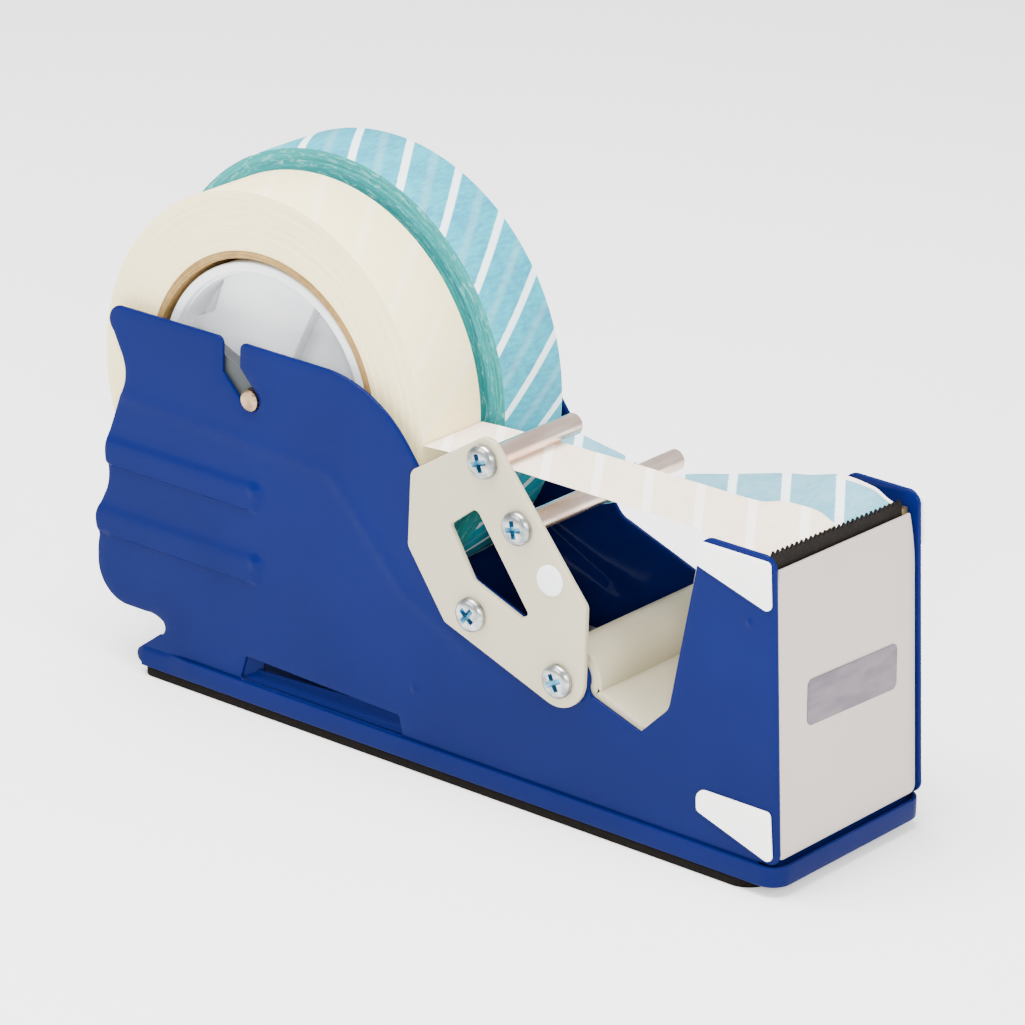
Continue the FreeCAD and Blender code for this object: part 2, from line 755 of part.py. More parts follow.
def axle_parts():
    axle = rod_along_y("axle_bar", "Sizes.axle_radius", "2 * Sizes.axle_half_length", "Sizes.axle_x",
                       "-Sizes.axle_half_length", "Sizes.axle_z")
    finish_node(axle, "roll_axle")
    near_face = f"({HUB_START.format(side='near')})"
    far_face = f"({HUB_START.format(side='far')})"
    plate_gap = "(Sizes.inside_half - Sizes.end_play)"
    spacers = (
        ("near_spacer", f"-{plate_gap}", f"{near_face} - Sizes.end_play"),
        ("middle_spacer", f"{near_face} + {HUB_LENGTH} + Sizes.end_play", f"{far_face} - Sizes.end_play"),
        ("far_spacer", f"{far_face} + {HUB_LENGTH} + Sizes.end_play", plate_gap),
    )
    for label, start, end in spacers:
        length = f"({end}) - ({start})"
        spacer = ring_along_y(label, "Sizes.collar_radius", "Sizes.axle_radius", length, start)
        if label == "near_spacer":
            spacer = arm_on_collar(spacer, length, start)
        finish_node(spacer, label)


def hub(side):
    """A plastic wheel: rim, thin web set in from the near face, crossed ribs and a bored boss."""
    name = side + "_hub"
    y = HUB_START.format(side=side)
    x, z = "Sizes.axle_x", "Sizes.axle_z"
    rim = ring_along_y(name + "_rim", "Sizes.hub_outer", "Sizes.hub_inner", HUB_LENGTH, y)
    web_y = f"{y} + Sizes.hub_web_depth"
    disc = rod_along_y(name + "_disc", "Sizes.hub_inner + 0.5", "Sizes.hub_web", x, web_y, z)
    boss = rod_along_y(name + "_boss", "Sizes.boss_radius", HUB_LENGTH, x, y, z)
    ribs = []
    for turn in (25, 115):
        rib = doc.addObject("Part::Box", f"{name}_rib_{turn}")
        rib.setExpression("Length", "2 * Sizes.hub_inner + 1")
        rib.Width, rib.Height = 8, 2.2
        centre = V(size("axle_x"), 0, size("axle_z"))
        spin = FreeCAD.Placement(centre, FreeCAD.Rotation(V(0, 1, 0), turn))
        start = size(side + "_roll_y") + size("hub_recess") + size("hub_web_depth")
        rib.Placement = spin * FreeCAD.Placement(V(-size("hub_inner") - 0.5, start, -1.1), FreeCAD.Rotation())
        ribs.append(rib)
    solid = fuse(name + "_solid", [rim, disc, boss] + ribs)
    bore = rod_along_y(name + "_bore", "Sizes.bore_radius", HUB_LENGTH, x, y, z)
    finish_node(cut(name + "_cut", solid, bore), name)


def tape_roll(side):
    y = f"Sizes.{side}_roll_y"
    hub(side)
    core = ring_along_y(side + "_core", "Sizes.core_outer", "Sizes.core_inner", "Sizes.tape_width", y)
    finish_node(core, side + "_core")
    radius = f"Sizes.{side}_roll_radius"
    roll = ring_along_y(side + "_tape", radius, "Sizes.core_outer", "Sizes.tape_width", y)
    finish_node(roll, side + "_tape_roll")


def tape_end(side, upper_line):
    """The tape between its roll and the blade: a strip that follows a line seen from the side."""
    thick = size("web_thick")
    lower = [(x, z - thick) for x, z in reversed(upper_line)]
    body = start_body(side + "_tape_end")
    sketch = start_sketch(body, "XZ_Plane", side + "_strip")
    draw_path(sketch, upper_line[0], upper_line[1:] + lower)
    pad_sketch(body, sketch, "Sizes.tape_width")
    place(body, y=f"Sizes.{side}_roll_y + Sizes.tape_width")
    finish_node(body, side + "_tape_end")


def tape_ends():
    under_upper = size("upper_rod_z") - size("rod_radius") - 0.05
    under_lower = size("lower_rod_z") - size("rod_radius") - 0.05
    tip = (113.4, size("blade_height") - size("tooth_height") + 0.2)
    near = [(-2.4, 91.9), (size("upper_rod_x"), under_upper), (60.0, 93.2), (104.0, 93.3), tip]
    far = [
        (3.0, 85.9),
        (15.0, 82.6),
        (25.0, 80.9),
        (size("lower_rod_x") - 1.0, under_lower),
        (size("lower_rod_x") + 1.0, under_lower),
        (45.4, 81.2),
        (76.0, 89.6),
        (93.0, 93.0),
        (104.0, 94.2),
        tip,
    ]
    tape_end("near", near)
    tape_end("far", far)


# ---------------------------------------------------------------- build, check and write
side_plates()
base_tray()
base_pad()
ballast()
front_cover()
blade()
blade_carrier()
blade_screws()
label_plate()
well_cover()
guide_bracket()
guide_rods()
bracket_fasteners()
hole_plug()
corner_pads()
axle_parts()
tape_roll("near")
tape_roll("far")
tape_ends()
doc.recompute()

failed = [obj.Name for obj in doc.Objects if "Invalid" in obj.State or "Error" in obj.State]
if failed:
    raise RuntimeError(f"these objects failed: {failed}")
for obj in nodes:
    if obj.Shape.isNull() or not obj.Shape.isValid() or not obj.Shape.Solids:
        raise RuntimeError(f"{obj.Label} has no valid solid")
for obj in nodes:
    obj.Shape.exportStep(f"parts/{obj.Label}.step")
    print(f"{obj.Label}: {len(obj.Shape.Solids)} solids, {obj.Shape.Volume:.0f} mm3")
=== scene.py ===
"""Looks of the two-roll desk tape dispenser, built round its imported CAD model.

Lengths are millimetres in the CAD frame until a mesh is made, which is in metres. +X runs to the blade, -Y is
the side with the guide bracket and +Z is up. In a flat sheet, u and v lie in it and w points out of it.
"""

import math

import bmesh
import bpy
import numpy as np
from mathutils import Matrix, Vector
from mathutils.geometry import delaunay_2d_cdt


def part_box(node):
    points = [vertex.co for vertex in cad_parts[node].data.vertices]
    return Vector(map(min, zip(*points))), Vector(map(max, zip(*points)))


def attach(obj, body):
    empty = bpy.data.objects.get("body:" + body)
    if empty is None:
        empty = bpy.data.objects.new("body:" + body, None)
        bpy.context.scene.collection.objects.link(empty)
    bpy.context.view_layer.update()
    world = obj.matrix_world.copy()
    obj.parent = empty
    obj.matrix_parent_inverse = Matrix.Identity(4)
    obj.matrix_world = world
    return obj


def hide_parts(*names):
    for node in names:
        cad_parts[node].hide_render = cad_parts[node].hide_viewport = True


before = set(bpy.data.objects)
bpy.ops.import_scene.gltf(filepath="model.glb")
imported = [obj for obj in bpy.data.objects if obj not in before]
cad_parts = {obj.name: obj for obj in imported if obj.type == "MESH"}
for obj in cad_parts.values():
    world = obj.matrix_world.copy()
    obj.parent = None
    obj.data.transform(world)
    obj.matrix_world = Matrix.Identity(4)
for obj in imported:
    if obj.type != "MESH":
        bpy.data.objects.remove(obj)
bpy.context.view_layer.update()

MM = 0.001


def span(node, axis):
    """Lowest and highest place of a CAD node along an axis, in millimetres."""
    index = "xyz".index(axis)
    low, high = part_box(node)
    return low[index] / MM, high[index] / MM


# ---- sizes
STEEL = 1.2
INSIDE = span("far_side_plate", "y")[0]
OUTSIDE = INSIDE + STEEL
PLATE_TOP = span("near_side_plate", "z")[1]
COLUMN_TOP = 93.5
PAD_HEIGHT = span("base_pad", "z")[1]
HEM_TOP = 8.7
HEM_REAR, HEM_FADE = -88.0, -82.0
HEM_CORNER = 6.0
BASE_FRONT = span("base_tray", "x")[1]
COVER_FOOT, COVER_LEAN = 121.5, math.radians(3.43)
COVER_BOTTOM, COVER_TOP, COVER_DROP = 9.9, 88.7, 0.45
BRACKET_THICK = 1.8
BLADE_TOP, BLADE_BOTTOM, TOOTH_DEPTH, CLAMP_HEIGHT, BLADE_DROP = 93.5, 80.5, 1.3, 84.4, 0.9
HEAD_RADIUS, HEAD_HEIGHT = 4.7, 2.6
UPPER_ROD, LOWER_ROD = (23.2, 95.9), (35.2, 80.4)
PLATE_SCREWS = ((20.3, 51.9), (50.0, 41.4))
PLUG = (46.2, 68.6)
COLLAR_RADIUS, ARM_REACH, ARM_HALF, ARM_RISE = 9.0, 20.0, 5.2, math.radians(23)
AXLE_X = sum(span("roll_axle", "x")) / 2
AXLE_Z = sum(span("roll_axle", "z")) / 2
AXLE_RADIUS, BORE_RADIUS, BOSS_RADIUS = 3.0, 3.05, 6.0
CORE_OUTER, CORE_INNER = 40.5, 38.3
HUB_OUTER, HUB_INNER, WEB_DEPTH = 37.0, 34.2, 6.5
ROLLS = {side: (*span(side + "_tape_roll", "y"), span(side + "_tape_roll", "z")[1] - AXLE_Z)
         for side in ("near", "far")}


# ---- materials
def display(red, green, blue):
    """A colour given as it looks on a screen, from 0 to 255, as the shader's linear colour."""
    return tuple((c / 255 / 12.92) if c <= 10 else ((c / 255 + 0.055) / 1.055) ** 2.4
                 for c in (red, green, blue)) + (1.0,)


class Finish:
    """A node material in the making, with short names for the nodes that the finishes share."""

    def __init__(self, name, roughness, **sockets):
        self.material = bpy.data.materials.new(name)
        self.material.use_nodes = True
        self.tree = self.material.node_tree
        self.shader = self.tree.nodes["Principled BSDF"]
        self.shader.inputs["Roughness"].default_value = roughness
        for socket, value in sockets.items():
            self.shader.inputs[socket.replace("_", " ")].default_value = value
        self.place = self.add("TexCoord").outputs["Object"]

    def add(self, kind, **settings):
        node = self.tree.nodes.new("ShaderNode" + kind)
        for key, value in settings.items():
            setattr(node, key, value)
        return node

    def feed(self, socket, value):
        if isinstance(value, bpy.types.NodeSocket):
            self.tree.links.new(value, socket)
        else:
            socket.default_value = value

    def op(self, operation, *values):
        """A Math node's result."""
        node = self.add("Math", operation=operation)
        for socket, value in zip(node.inputs, values):
            self.feed(socket, value)
        return node.outputs[0]

    def times(self, value, factor):
        return self.op("MULTIPLY", value, factor)

    def stretched(self, x, y, z):
        """Object coordinates, scaled along each axis."""
        node = self.add("Mapping")
        self.feed(node.inputs["Vector"], self.place)
        node.inputs["Scale"].default_value = (x, y, z)
        return node.outputs[0]

    def noise(self, scale, detail, vector=None, roughness=0.5, distortion=0.0):
        node = self.add("TexNoise")
        self.feed(node.inputs["Vector"], vector or self.place)
        node.inputs["Scale"].default_value = scale
        node.inputs["Detail"].default_value = detail
        node.inputs["Roughness"].default_value = roughness
        node.inputs["Distortion"].default_value = distortion
        return node.outputs[0]

    def ramp(self, value, low, high, start=0.0, end=1.0):
        """value taken from start...end to low...high, smoothly."""
        node = self.add("MapRange", interpolation_type="SMOOTHSTEP")
        self.feed(node.inputs["Value"], value)
        ends = {"From Min": start, "From Max": end, "To Min": low, "To Max": high}
        for socket, number in ends.items():
            node.inputs[socket].default_value = number
        return node.outputs[0]

    def mix(self, share, first, second):
        """Two colours mixed; each is a node's result, or a tuple as display takes it."""
        node = self.add("Mix", data_type="RGBA")
        self.feed(node.inputs["Factor"], share)
        for socket, value in ((6, first), (7, second)):
            self.feed(node.inputs[socket], display(*value) if isinstance(value, tuple) else value)
        return node.outputs[2]

    def axis(self, name):
        node = self.add("SeparateXYZ")
        self.feed(node.inputs[0], self.place)
        return node.outputs[name]

    def polar(self):
        """Radius from the axle's line and angle round it, from +X towards +Z."""
        x = self.op("SUBTRACT", self.axis("X"), AXLE_X * MM)
        z = self.op("SUBTRACT", self.axis("Z"), AXLE_Z * MM)
        squares = self.op("ADD", self.times(x, x), self.times(z, z))
        return self.op("SQRT", squares), self.op("ARCTAN2", z, x)

    def vector(self, x, y, z):
        node = self.add("CombineXYZ")
        for socket, value in zip(node.inputs, (x, y, z)):
            self.feed(socket, value)
        return node.outputs[0]

    def noise_over(self, first, first_scale, second, second_scale, detail, *settings):
        """Noise over two values in place of coordinates, each times its scale."""
        spot = self.vector(self.times(first, first_scale), self.times(second, second_scale), 0.0)
        return self.noise(1, detail, spot, *settings)

    def colour(self, value):
        self.feed(self.shader.inputs["Base Color"], value)

    def rough(self, value):
        self.feed(self.shader.inputs["Roughness"], value)

    def bump(self, height, distance):
        """Adds relief of that many millimetres on top of any that the finish has."""
        node = self.add("Bump")
        node.inputs["Strength"].default_value = 1.0
        node.inputs["Distance"].default_value = distance * MM
        self.feed(node.inputs["Height"], height)
        before = self.shader.inputs["Normal"].links
        if before:
            self.feed(node.inputs["Normal"], before[0].from_socket)
        self.feed(self.shader.inputs["Normal"], node.outputs[0])


def powder_coat(name, light, dark, roughness, painted_foot_shade, gloss, coat):
    """Baked paint: fine orange peel and a little cloudiness, with painted shade that darkens it slightly
    towards the foot.
    """
    f = Finish(name, roughness, Specular_IOR_Level=gloss, Coat_Weight=coat, Coat_Roughness=0.1)
    cloud = f.ramp(f.noise(22, 2), 0.0, 1.0, 0.3, 0.7)
    # painted shade: the colour is darkened towards the foot, over the lowest 90 mm
    low = f.ramp(f.axis("Z"), painted_foot_shade, 0.0, 0.0, 0.09)
    share = f.op("ADD", f.times(cloud, 0.35), low)
    f.colour(f.mix(share, light, dark))
    f.rough(f.ramp(f.noise(60, 2), roughness - 0.04, roughness + 0.06, 0.3, 0.7))
    f.bump(f.noise(900, 2), 0.006)
    return f.material


def foam_rubber():
    f = Finish("foam", 0.9, Specular_IOR_Level=0.1)
    f.colour(f.mix(f.noise(700, 3), (4, 3, 2), (18, 14, 11)))
    f.bump(f.noise(1500, 3), 0.15)
    return f.material


def cast_iron():
    f = Finish("cast", 0.7, Metallic=0.6)
    f.colour(f.mix(f.noise(250, 4), (70, 70, 72), (120, 120, 124)))
    f.bump(f.noise(500, 4), 0.2)
    return f.material


def blackened_steel():
    f = Finish("black_steel", 0.5, Specular_IOR_Level=0.06)
    worn = f.ramp(f.noise(400, 3, f.stretched(1, 1, 6)), 0.0, 1.0, 0.45, 0.75)
    f.colour(f.mix(worn, (11, 7, 5), (27, 20, 16)))
    f.bump(f.noise(800, 2), 0.01)
    return f.material


def plated(name, light, dark, roughness, grain, metallic=1.0, relief=0.006):
    """Bright plating with a fine grain that is stretched by the three factors in grain."""
    f = Finish(name, roughness, Metallic=metallic)
    streaks = f.noise(300, 3, f.stretched(*grain))
    f.colour(f.mix(f.ramp(streaks, 0.0, 1.0, 0.3, 0.7), light, dark))
    f.rough(f.ramp(streaks, roughness - 0.06, roughness + 0.1, 0.3, 0.7))
    f.bump(streaks, relief)
    return f.material


def moulded(name, light, dark, roughness):
    """Moulded plastic, or a matt pad of it."""
    f = Finish(name, roughness)
    f.colour(f.mix(f.ramp(f.noise(45, 3), 0.0, 1.0, 0.3, 0.7), light, dark))
    f.rough(f.ramp(f.noise(120, 2), roughness - 0.05, roughness + 0.08, 0.3, 0.7))
    f.bump(f.noise(700, 2), 0.008)
    return f.material


def cardboard():
    """Spiral-wound board: thin rings on the cut end, and a fibrous wall."""
    f = Finish("board", 0.85)
    radius, angle = f.polar()
    layers = f.noise_over(radius, 2600, angle, 1.5, 2)
    fibres = f.noise(600, 4)
    share = f.op("ADD", f.times(layers, 0.7), f.times(fibres, 0.3))
    f.colour(f.mix(f.ramp(share, 0.0, 1.0, 0.3, 0.7), (170, 136, 78), (114, 86, 42)))
    f.bump(layers, 0.05)
    return f.material


def tape_side(name, light, dark, streak, swirl):
    """The wound edge of a roll: hundreds of turns, with loose fibres and faint lines round the axle."""
    f = Finish(name, 0.8)
    radius, angle = f.polar()
    turns = f.noise_over(radius, 2200, angle, 1.2, 3, 0.6)
    fibres = f.noise_over(radius, 1000, angle, 15.0, 4, 0.65, 0.6)
    base = f.mix(f.ramp(turns, 0.0, 1.0, 0.35, 0.65), light, dark)
    f.colour(f.mix(f.times(f.ramp(fibres, 0.0, 1.0, 0.5, 0.72), swirl), base, streak))
    f.bump(turns, 0.05)
    f.bump(fibres, 0.08)
    return f.material


STRIPE_SLANT = 0.71
BARE_PAPER = (244, 234, 220)


def tape_face(name, light, dark, stripe, pitch, along, width, start, strength=1.0, show_through=0.0,
              margin=None):
    """Crepe paper with slanting stripes. along makes the coordinate that runs along the tape, in metres; the
    stripes are moved by start, a share of the pitch. margin is the (x, y) where a bare far edge begins."""
    f = Finish(name, 0.7)
    distance = along(f)
    across = f.axis("Y")
    crepe = f.noise_over(distance, 900, across, 260, 3, 0.6)
    cloud = f.noise_over(distance, 90, across, 60, 3, 0.55)
    share = f.op("ADD", f.times(crepe, 0.55), f.times(cloud, 0.45))
    base = f.mix(f.ramp(share, 0.0, 1.0, 0.36, 0.64), light, dark)
    slanted = f.op("SUBTRACT", distance, f.times(across, STRIPE_SLANT))
    wobble = f.times(f.op("SUBTRACT", crepe, 0.5), 0.0004)
    phase = f.op("DIVIDE", f.op("ADD", slanted, wobble), pitch * MM)
    half = width / pitch / 2
    for offset, share_shown, blur in ((start, strength, 0.012), (start + 0.5, show_through, 0.05)):
        if share_shown:
            turn = f.op("FRACT", f.op("ADD", phase, offset))
            near = f.op("ABSOLUTE", f.op("SUBTRACT", turn, 0.5))
            inked = f.ramp(near, share_shown, 0.0, half - blur, half + blur)
            base = f.mix(inked, base, stripe)
    if margin:
        bare = f.times(f.ramp(f.axis("X"), 0.0, 1.0, margin[0] * MM, (margin[0] + 4) * MM),
                       f.ramp(across, 0.0, 1.0, margin[1] * MM, (margin[1] + 0.25) * MM))
        base = f.mix(bare, base, BARE_PAPER)
    f.colour(base)
    f.bump(crepe, 0.05)
    return f.material


def along_roll(radius):
    """Distance round a roll of that radius, in metres, for tape_face."""
    def distance(f):
        return f.times(f.polar()[1], radius * MM)
    return distance


def along_strip(f):
    """Distance back from the blade towards the roll."""
    return f.times(f.axis("X"), -1.0)


TEAL_PITCH = 2 * math.pi * ROLLS["far"][2] / 22
CREAM_PITCH = 2 * math.pi * ROLLS["near"][2] / 21
# the fifth number given to powder_coat is how much painted shade darkens each paint at its foot
BLUE = powder_coat("blue_coat", (6, 19, 78), (3, 13, 62), 0.45, 0.4, 0.02, 0.1)
IVORY = powder_coat("ivory_coat", (181, 173, 147), (173, 165, 138), 0.42, 0.1, 0.25, 0.1)
COVER_PAINT = powder_coat("cover_coat", (178, 168, 161), (170, 160, 153), 0.4, 0.1, 0.25, 0.1)
FOAM = foam_rubber()
IRON = cast_iron()
BLACK = blackened_steel()
NICKEL = plated("nickel_plate", (248, 226, 212), (206, 178, 164), 0.24, (1, 0.15, 1))
AXLE_STEEL = plated("axle_plate", (172, 146, 116), (124, 102, 80), 0.3, (1, 0.3, 1))
ZINC = plated("zinc_plate", (188, 190, 190), (116, 120, 122), 0.24, (1, 1, 1))
# painted shade and reflection: a darker blue-green colour for the walls of the screws' cross recesses, which
# are the same zinc as the heads
RECESS_SHADE = plated("painted_recess_shade", (110, 170, 196), (50, 104, 130), 0.35, (1, 1, 1))
YELLOW = plated("yellow_plate", (216, 190, 120), (170, 150, 96), 0.32, (1, 0.2, 1))
GREY = moulded("grey_moulding", (56, 61, 63), (45, 50, 52), 0.5)
WHITE = moulded("white_moulding", (238, 240, 242), (224, 226, 230), 0.38)
FELT = moulded("white_pad", (252, 252, 249), (246, 246, 242), 0.75)
FOIL = plated("silver_foil", (100, 92, 100), (88, 80, 88), 0.5, (1, 0.3, 1), 0.1, 0.003)
BOARD = cardboard()
CREAM_SIDE = tape_side("cream_edge", (254, 239, 186), (247, 229, 172), (240, 220, 162), 0.35)
TEAL_SIDE = tape_side("teal_edge", (12, 146, 148), (4, 110, 116), (130, 204, 204), 0.6)
CREAM_FACE = tape_face("cream_face", (254, 240, 188), (250, 233, 176), (255, 250, 240), CREAM_PITCH,
                       along_roll(ROLLS["near"][2]), 3.0, 0.2, 0.25)
TEAL_FACE = tape_face("teal_face", (14, 164, 182), (2, 132, 158), (240, 250, 252), TEAL_PITCH,
                      along_roll(ROLLS["far"][2]), 2.7, 0.43, 0.9, 0.08)
CREAM_STRIP = tape_face("cream_strip", (243, 226, 206), (234, 214, 194), (253, 249, 242), 16.75,
                        along_strip, 3.0, 0.643, 0.85)
TEAL_STRIP = tape_face("teal_strip", (114, 170, 184), (88, 152, 172), (240, 250, 252), 17.4,
                       along_strip, 2.9, 0.029, 0.95, margin=(94.0, 22.7))


# ---- outlines
WHOLE = 1e9


def spoke(radius, angle, centre=(0.0, 0.0)):
    """The point at that radius and angle from a centre."""
    return centre[0] + radius * math.cos(angle), centre[1] + radius * math.sin(angle)


def trace(start, steps, spacing=2.5):
    """Points along lines and arcs from start, at most the spacing apart on a line. A step is (u, v) for a
    line, or (via, end) for an arc through via."""
    points = [start]
    for step in steps:
        here = points[-1]
        if isinstance(step[0], tuple):
            points += arc_points(here, *step)
        else:
            count = max(1, math.ceil(math.dist(here, step) / spacing))
            points += [tuple(a + (b - a) * i / count for a, b in zip(here, step))
                       for i in range(1, count + 1)]
    if math.dist(points[0], points[-1]) < 1e-6:
        points.pop()
    return points


def arc_points(a, via, b, chord=0.7, turn=math.radians(9)):
    """Points along the arc from a, which is left out, through via to b."""
    (ax, ay), (bx, by), (cx, cy) = a, via, b
    d = 2 * (ax * (by - cy) + bx * (cy - ay) + cx * (ay - by))
    aa, bb, cc = ax * ax + ay * ay, bx * bx + by * by, cx * cx + cy * cy
    ux = (aa * (by - cy) + bb * (cy - ay) + cc * (ay - by)) / d
    uy = (aa * (cx - bx) + bb * (ax - cx) + cc * (bx - ax)) / d
    radius = math.hypot(ax - ux, ay - uy)
    first, middle, last = (math.atan2(y - uy, x - ux) for x, y in (a, via, b))
    sweep = (last - first) % (2 * math.pi)
    if (middle - first) % (2 * math.pi) > sweep:
        sweep -= 2 * math.pi
    count = max(2, math.ceil(abs(sweep) * radius / chord * 0.6), math.ceil(abs(sweep) / turn))
    return [spoke(radius, first + sweep * i / count, (ux, uy)) for i in range(1, count + 1)]


def rounded(corners, radii, spacing=2.5):
    """A closed outline with every corner rounded."""
    count = len(corners)
    radii = radii if isinstance(radii, (list, tuple)) else [radii] * count
    path, start = [], None
    for i, corner in enumerate(corners):
        c = Vector(corner)
        before = (Vector(corners[i - 1]) - c).normalized()
        after = (Vector(corners[(i + 1) % count]) - c).normalized()
        half = before.angle(after) / 2
        enter = tuple(c + before * radii[i] / math.tan(half))
        leave = tuple(c + after * radii[i] / math.tan(half))
        middle = tuple(c + (before + after).normalized() * (radii[i] / math.sin(half) - radii[i]))
        if start is None:
            start = enter
        else:
            path.append(enter)
        path.append((middle, leave))
    return trace(start, path + [start], spacing)


def rectangle(low_u, low_v, high_u, high_v, radii, spacing=2.5):
    """A rectangle with rounded corners; radii is one number, or one for each corner from the lowest on."""
    return rounded([(low_u, low_v), (high_u, low_v), (high_u, high_v), (low_u, high_v)], radii, spacing)


def circle(centre, radius, count=40):
    return [spoke(radius, 2 * math.pi * i / count, centre) for i in range(count)]


def arc(centre, radius, first, last, count):
    """Points from one angle to another, in degrees, in that many steps."""
    return [spoke(radius, math.radians(first + (last - first) * i / count), centre) for i in range(count + 1)]


def turning(loop):
    """The loop's signed area: above zero if it runs anticlockwise."""
    return sum(a[0] * b[1] - b[0] * a[1] for a, b in zip(loop, loop[1:] + loop[:1])) / 2


def inset(loop, distance):
    """The loop moved to its left by that distance."""
    moved = []
    count = len(loop)
    for i, point in enumerate(loop):
        p = Vector(point)
        ahead = (Vector(loop[(i + 1) % count]) - p).normalized()
        behind = (p - Vector(loop[i - 1])).normalized()
        normal = Vector((-ahead.y - behind.y, ahead.x + behind.x)).normalized()
        stretch = max(0.5, normal.dot(Vector((-ahead.y, ahead.x))))
        moved.append(tuple(p + normal * distance / stretch))
    return moved


def inside(points, loop):
    """Which of the points lie in the loop."""
    result = np.zeros(len(points), bool)
    for (x0, y0), (x1, y1) in zip(loop, loop[1:] + loop[:1]):
        if y0 != y1:
            crosses = (y0 > points[:, 1]) != (y1 > points[:, 1])
            result ^= crosses & (points[:, 0] < (x1 - x0) * (points[:, 1] - y0) / (y1 - y0) + x0)
    return result


def within(points, loops, margin=0.0):
    """Which of the points lie in the first loop, out of the others, and over the margin from each of them."""
    keep = inside(points, loops[0])
    for hole in loops[1:]:
        keep &= ~inside(points, hole)
    for loop in loops if margin else ():
        keep &= clearance(points, loop) > margin
    return keep


def clearance(points, loop):
    """Each point's distance from the loop."""
    best = np.full(len(points), 1e9)
    for a, b in zip(loop, loop[1:] + loop[:1]):
        a, b = np.array(a), np.array(b)
        along = np.clip((points - a) @ (b - a) / max(1e-12, (b - a) @ (b - a)), 0, 1)
        best = np.minimum(best, np.linalg.norm(points - a - along[:, None] * (b - a), axis=1))
    return best


# ---- mesh makers
def linked(name, data):
    """A new object in the scene."""
    obj = bpy.data.objects.new(name, data)
    bpy.context.scene.collection.objects.link(obj)
    return obj


def piece(name, points, faces, material, body, slot=None, replaces=(), sharp=40, zones=None):
    """A finished piece from points in millimetres. zones gives each face's place in a list of materials."""
    mesh = bpy.data.meshes.new(name)
    mesh.from_pydata([Vector(p) * MM for p in points], [], faces)
    work = bmesh.new()
    work.from_mesh(mesh)
    bmesh.ops.recalc_face_normals(work, faces=work.faces)
    work.to_mesh(mesh)
    work.free()
    obj = linked(name, mesh)
    for each in material if isinstance(material, list) else [material]:
        mesh.materials.append(each)
    if zones:
        mesh.polygons.foreach_set("material_index", zones)
    mesh.polygons.foreach_set("use_smooth", [True] * len(mesh.polygons))
    mesh.set_sharp_from_angle(angle=math.radians(sharp))
    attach(obj, body)
    if replaces:
        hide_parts(*replaces)
    return obj


def bevel(obj, width, segments=3, angle=35):
    """Rounds the edges sharper than the angle."""
    modifier = obj.modifiers.new("edges", "BEVEL")
    modifier.width, modifier.segments, modifier.limit_method = width * MM, segments, "ANGLE"
    modifier.angle_limit = math.radians(angle)
    modifier.harden_normals = True
    return obj


def band(before, after):
    """The four-sided faces between two closed rows of point numbers."""
    return list(zip(before, before[1:] + before[:1], after[1:] + after[:1], after))


def grid_points(loops, spacing, fine):
    """Points over a sheet, clear of its outlines. A fine box is (low u, low v, high u, high v, spacing)."""
    clear = 0.45
    outer = np.array(loops[0])
    low, high = outer.min(0), outer.max(0)
    regions = [(low[0], low[1], high[0], high[1], spacing)] + list(fine)
    kept = []
    for number, (u0, v0, u1, v1, step) in enumerate(regions):
        us = np.arange(u0 + step / 2, u1, step)
        vs = np.arange(v0 + step / 2, v1, step)
        points = np.array([(u + row % 2 * step / 2, v) for row, v in enumerate(vs) for u in us])
        if not len(points):
            continue
        keep = within(points, loops, step * clear)
        for later in regions[number + 1:]:
            keep &= ~((points[:, 0] > later[0]) & (points[:, 0] < later[2])
                      & (points[:, 1] > later[1]) & (points[:, 1] < later[3]))
        kept += [tuple(p) for p in points[keep]]
    return kept


def sheet(loops, thickness, place, rim=0.3, spacing=6.0, fine=(), relief=None, steps=3, extra=()):
    """Points and faces of a flat sheet with rounded edges. loops[0] is its outline and the others are holes;
    place turns (u, v, w) into a point in the frame; relief gives the face's height over (u, v); extra adds
    points that the face passes through."""
    loops = [loop if (turning(loop) > 0) == (number == 0) else loop[::-1]
             for number, loop in enumerate(loops)]
    relief = relief or (lambda u, v: 0.0)
    faces_in = [inset(loop, rim) for loop in loops]
    flat = [p for loop in faces_in for p in loop]
    edges, base = [], 0
    for loop in faces_in:
        edges += [(base + i, base + (i + 1) % len(loop)) for i in range(len(loop))]
        base += len(loop)
    body_points = grid_points(faces_in, spacing, fine)
    if extra:
        rows = np.array(extra)
        rows = rows[within(rows, faces_in[:1], 0.4)]
        body_points = [p for p in body_points if min(np.abs(rows - p).max(1)) > 0.3]
        body_points += [tuple(p) for p in rows]
    flat += body_points
    made, _, triangles, origin, _, _ = delaunay_2d_cdt([Vector(p) for p in flat], edges, [], 0, 1e-7)
    centres = np.array([[sum(made[i][k] for i in t) / 3 for k in (0, 1)] for t in triangles])
    keep = within(centres, faces_in)
    front = [tuple(origin[i][0] for i in t) for t, wanted in zip(triangles, keep) if wanted]

    points = [place(u, v, relief(u, v)) for u, v in flat]
    back = len(points)
    points += [place(u, v, relief(u, v) - thickness) for u, v in flat]
    faces = front + [tuple(back + i for i in reversed(t)) for t in front]
    angles = [math.pi / 2 * k / steps for k in range(1, steps + 1)]
    quarter = [(rim * (1 - math.sin(a)), rim * (1 - math.cos(a))) for a in angles]
    rings = quarter + [(distance, thickness - depth) for distance, depth in quarter[::-1]]
    base = 0
    for loop in loops:
        count = len(loop)
        before = list(range(base, base + count))
        for distance, depth in rings:
            edge = inset(loop, distance) if distance > 1e-9 else loop
            start = len(points)
            points += [place(u, v, relief(u, v) - depth) for u, v in edge]
            here = list(range(start, start + count))
            faces += band(before, here)
            before = here
        faces += band(before, [back + base + i for i in range(count)])
        base += count
    return points, faces


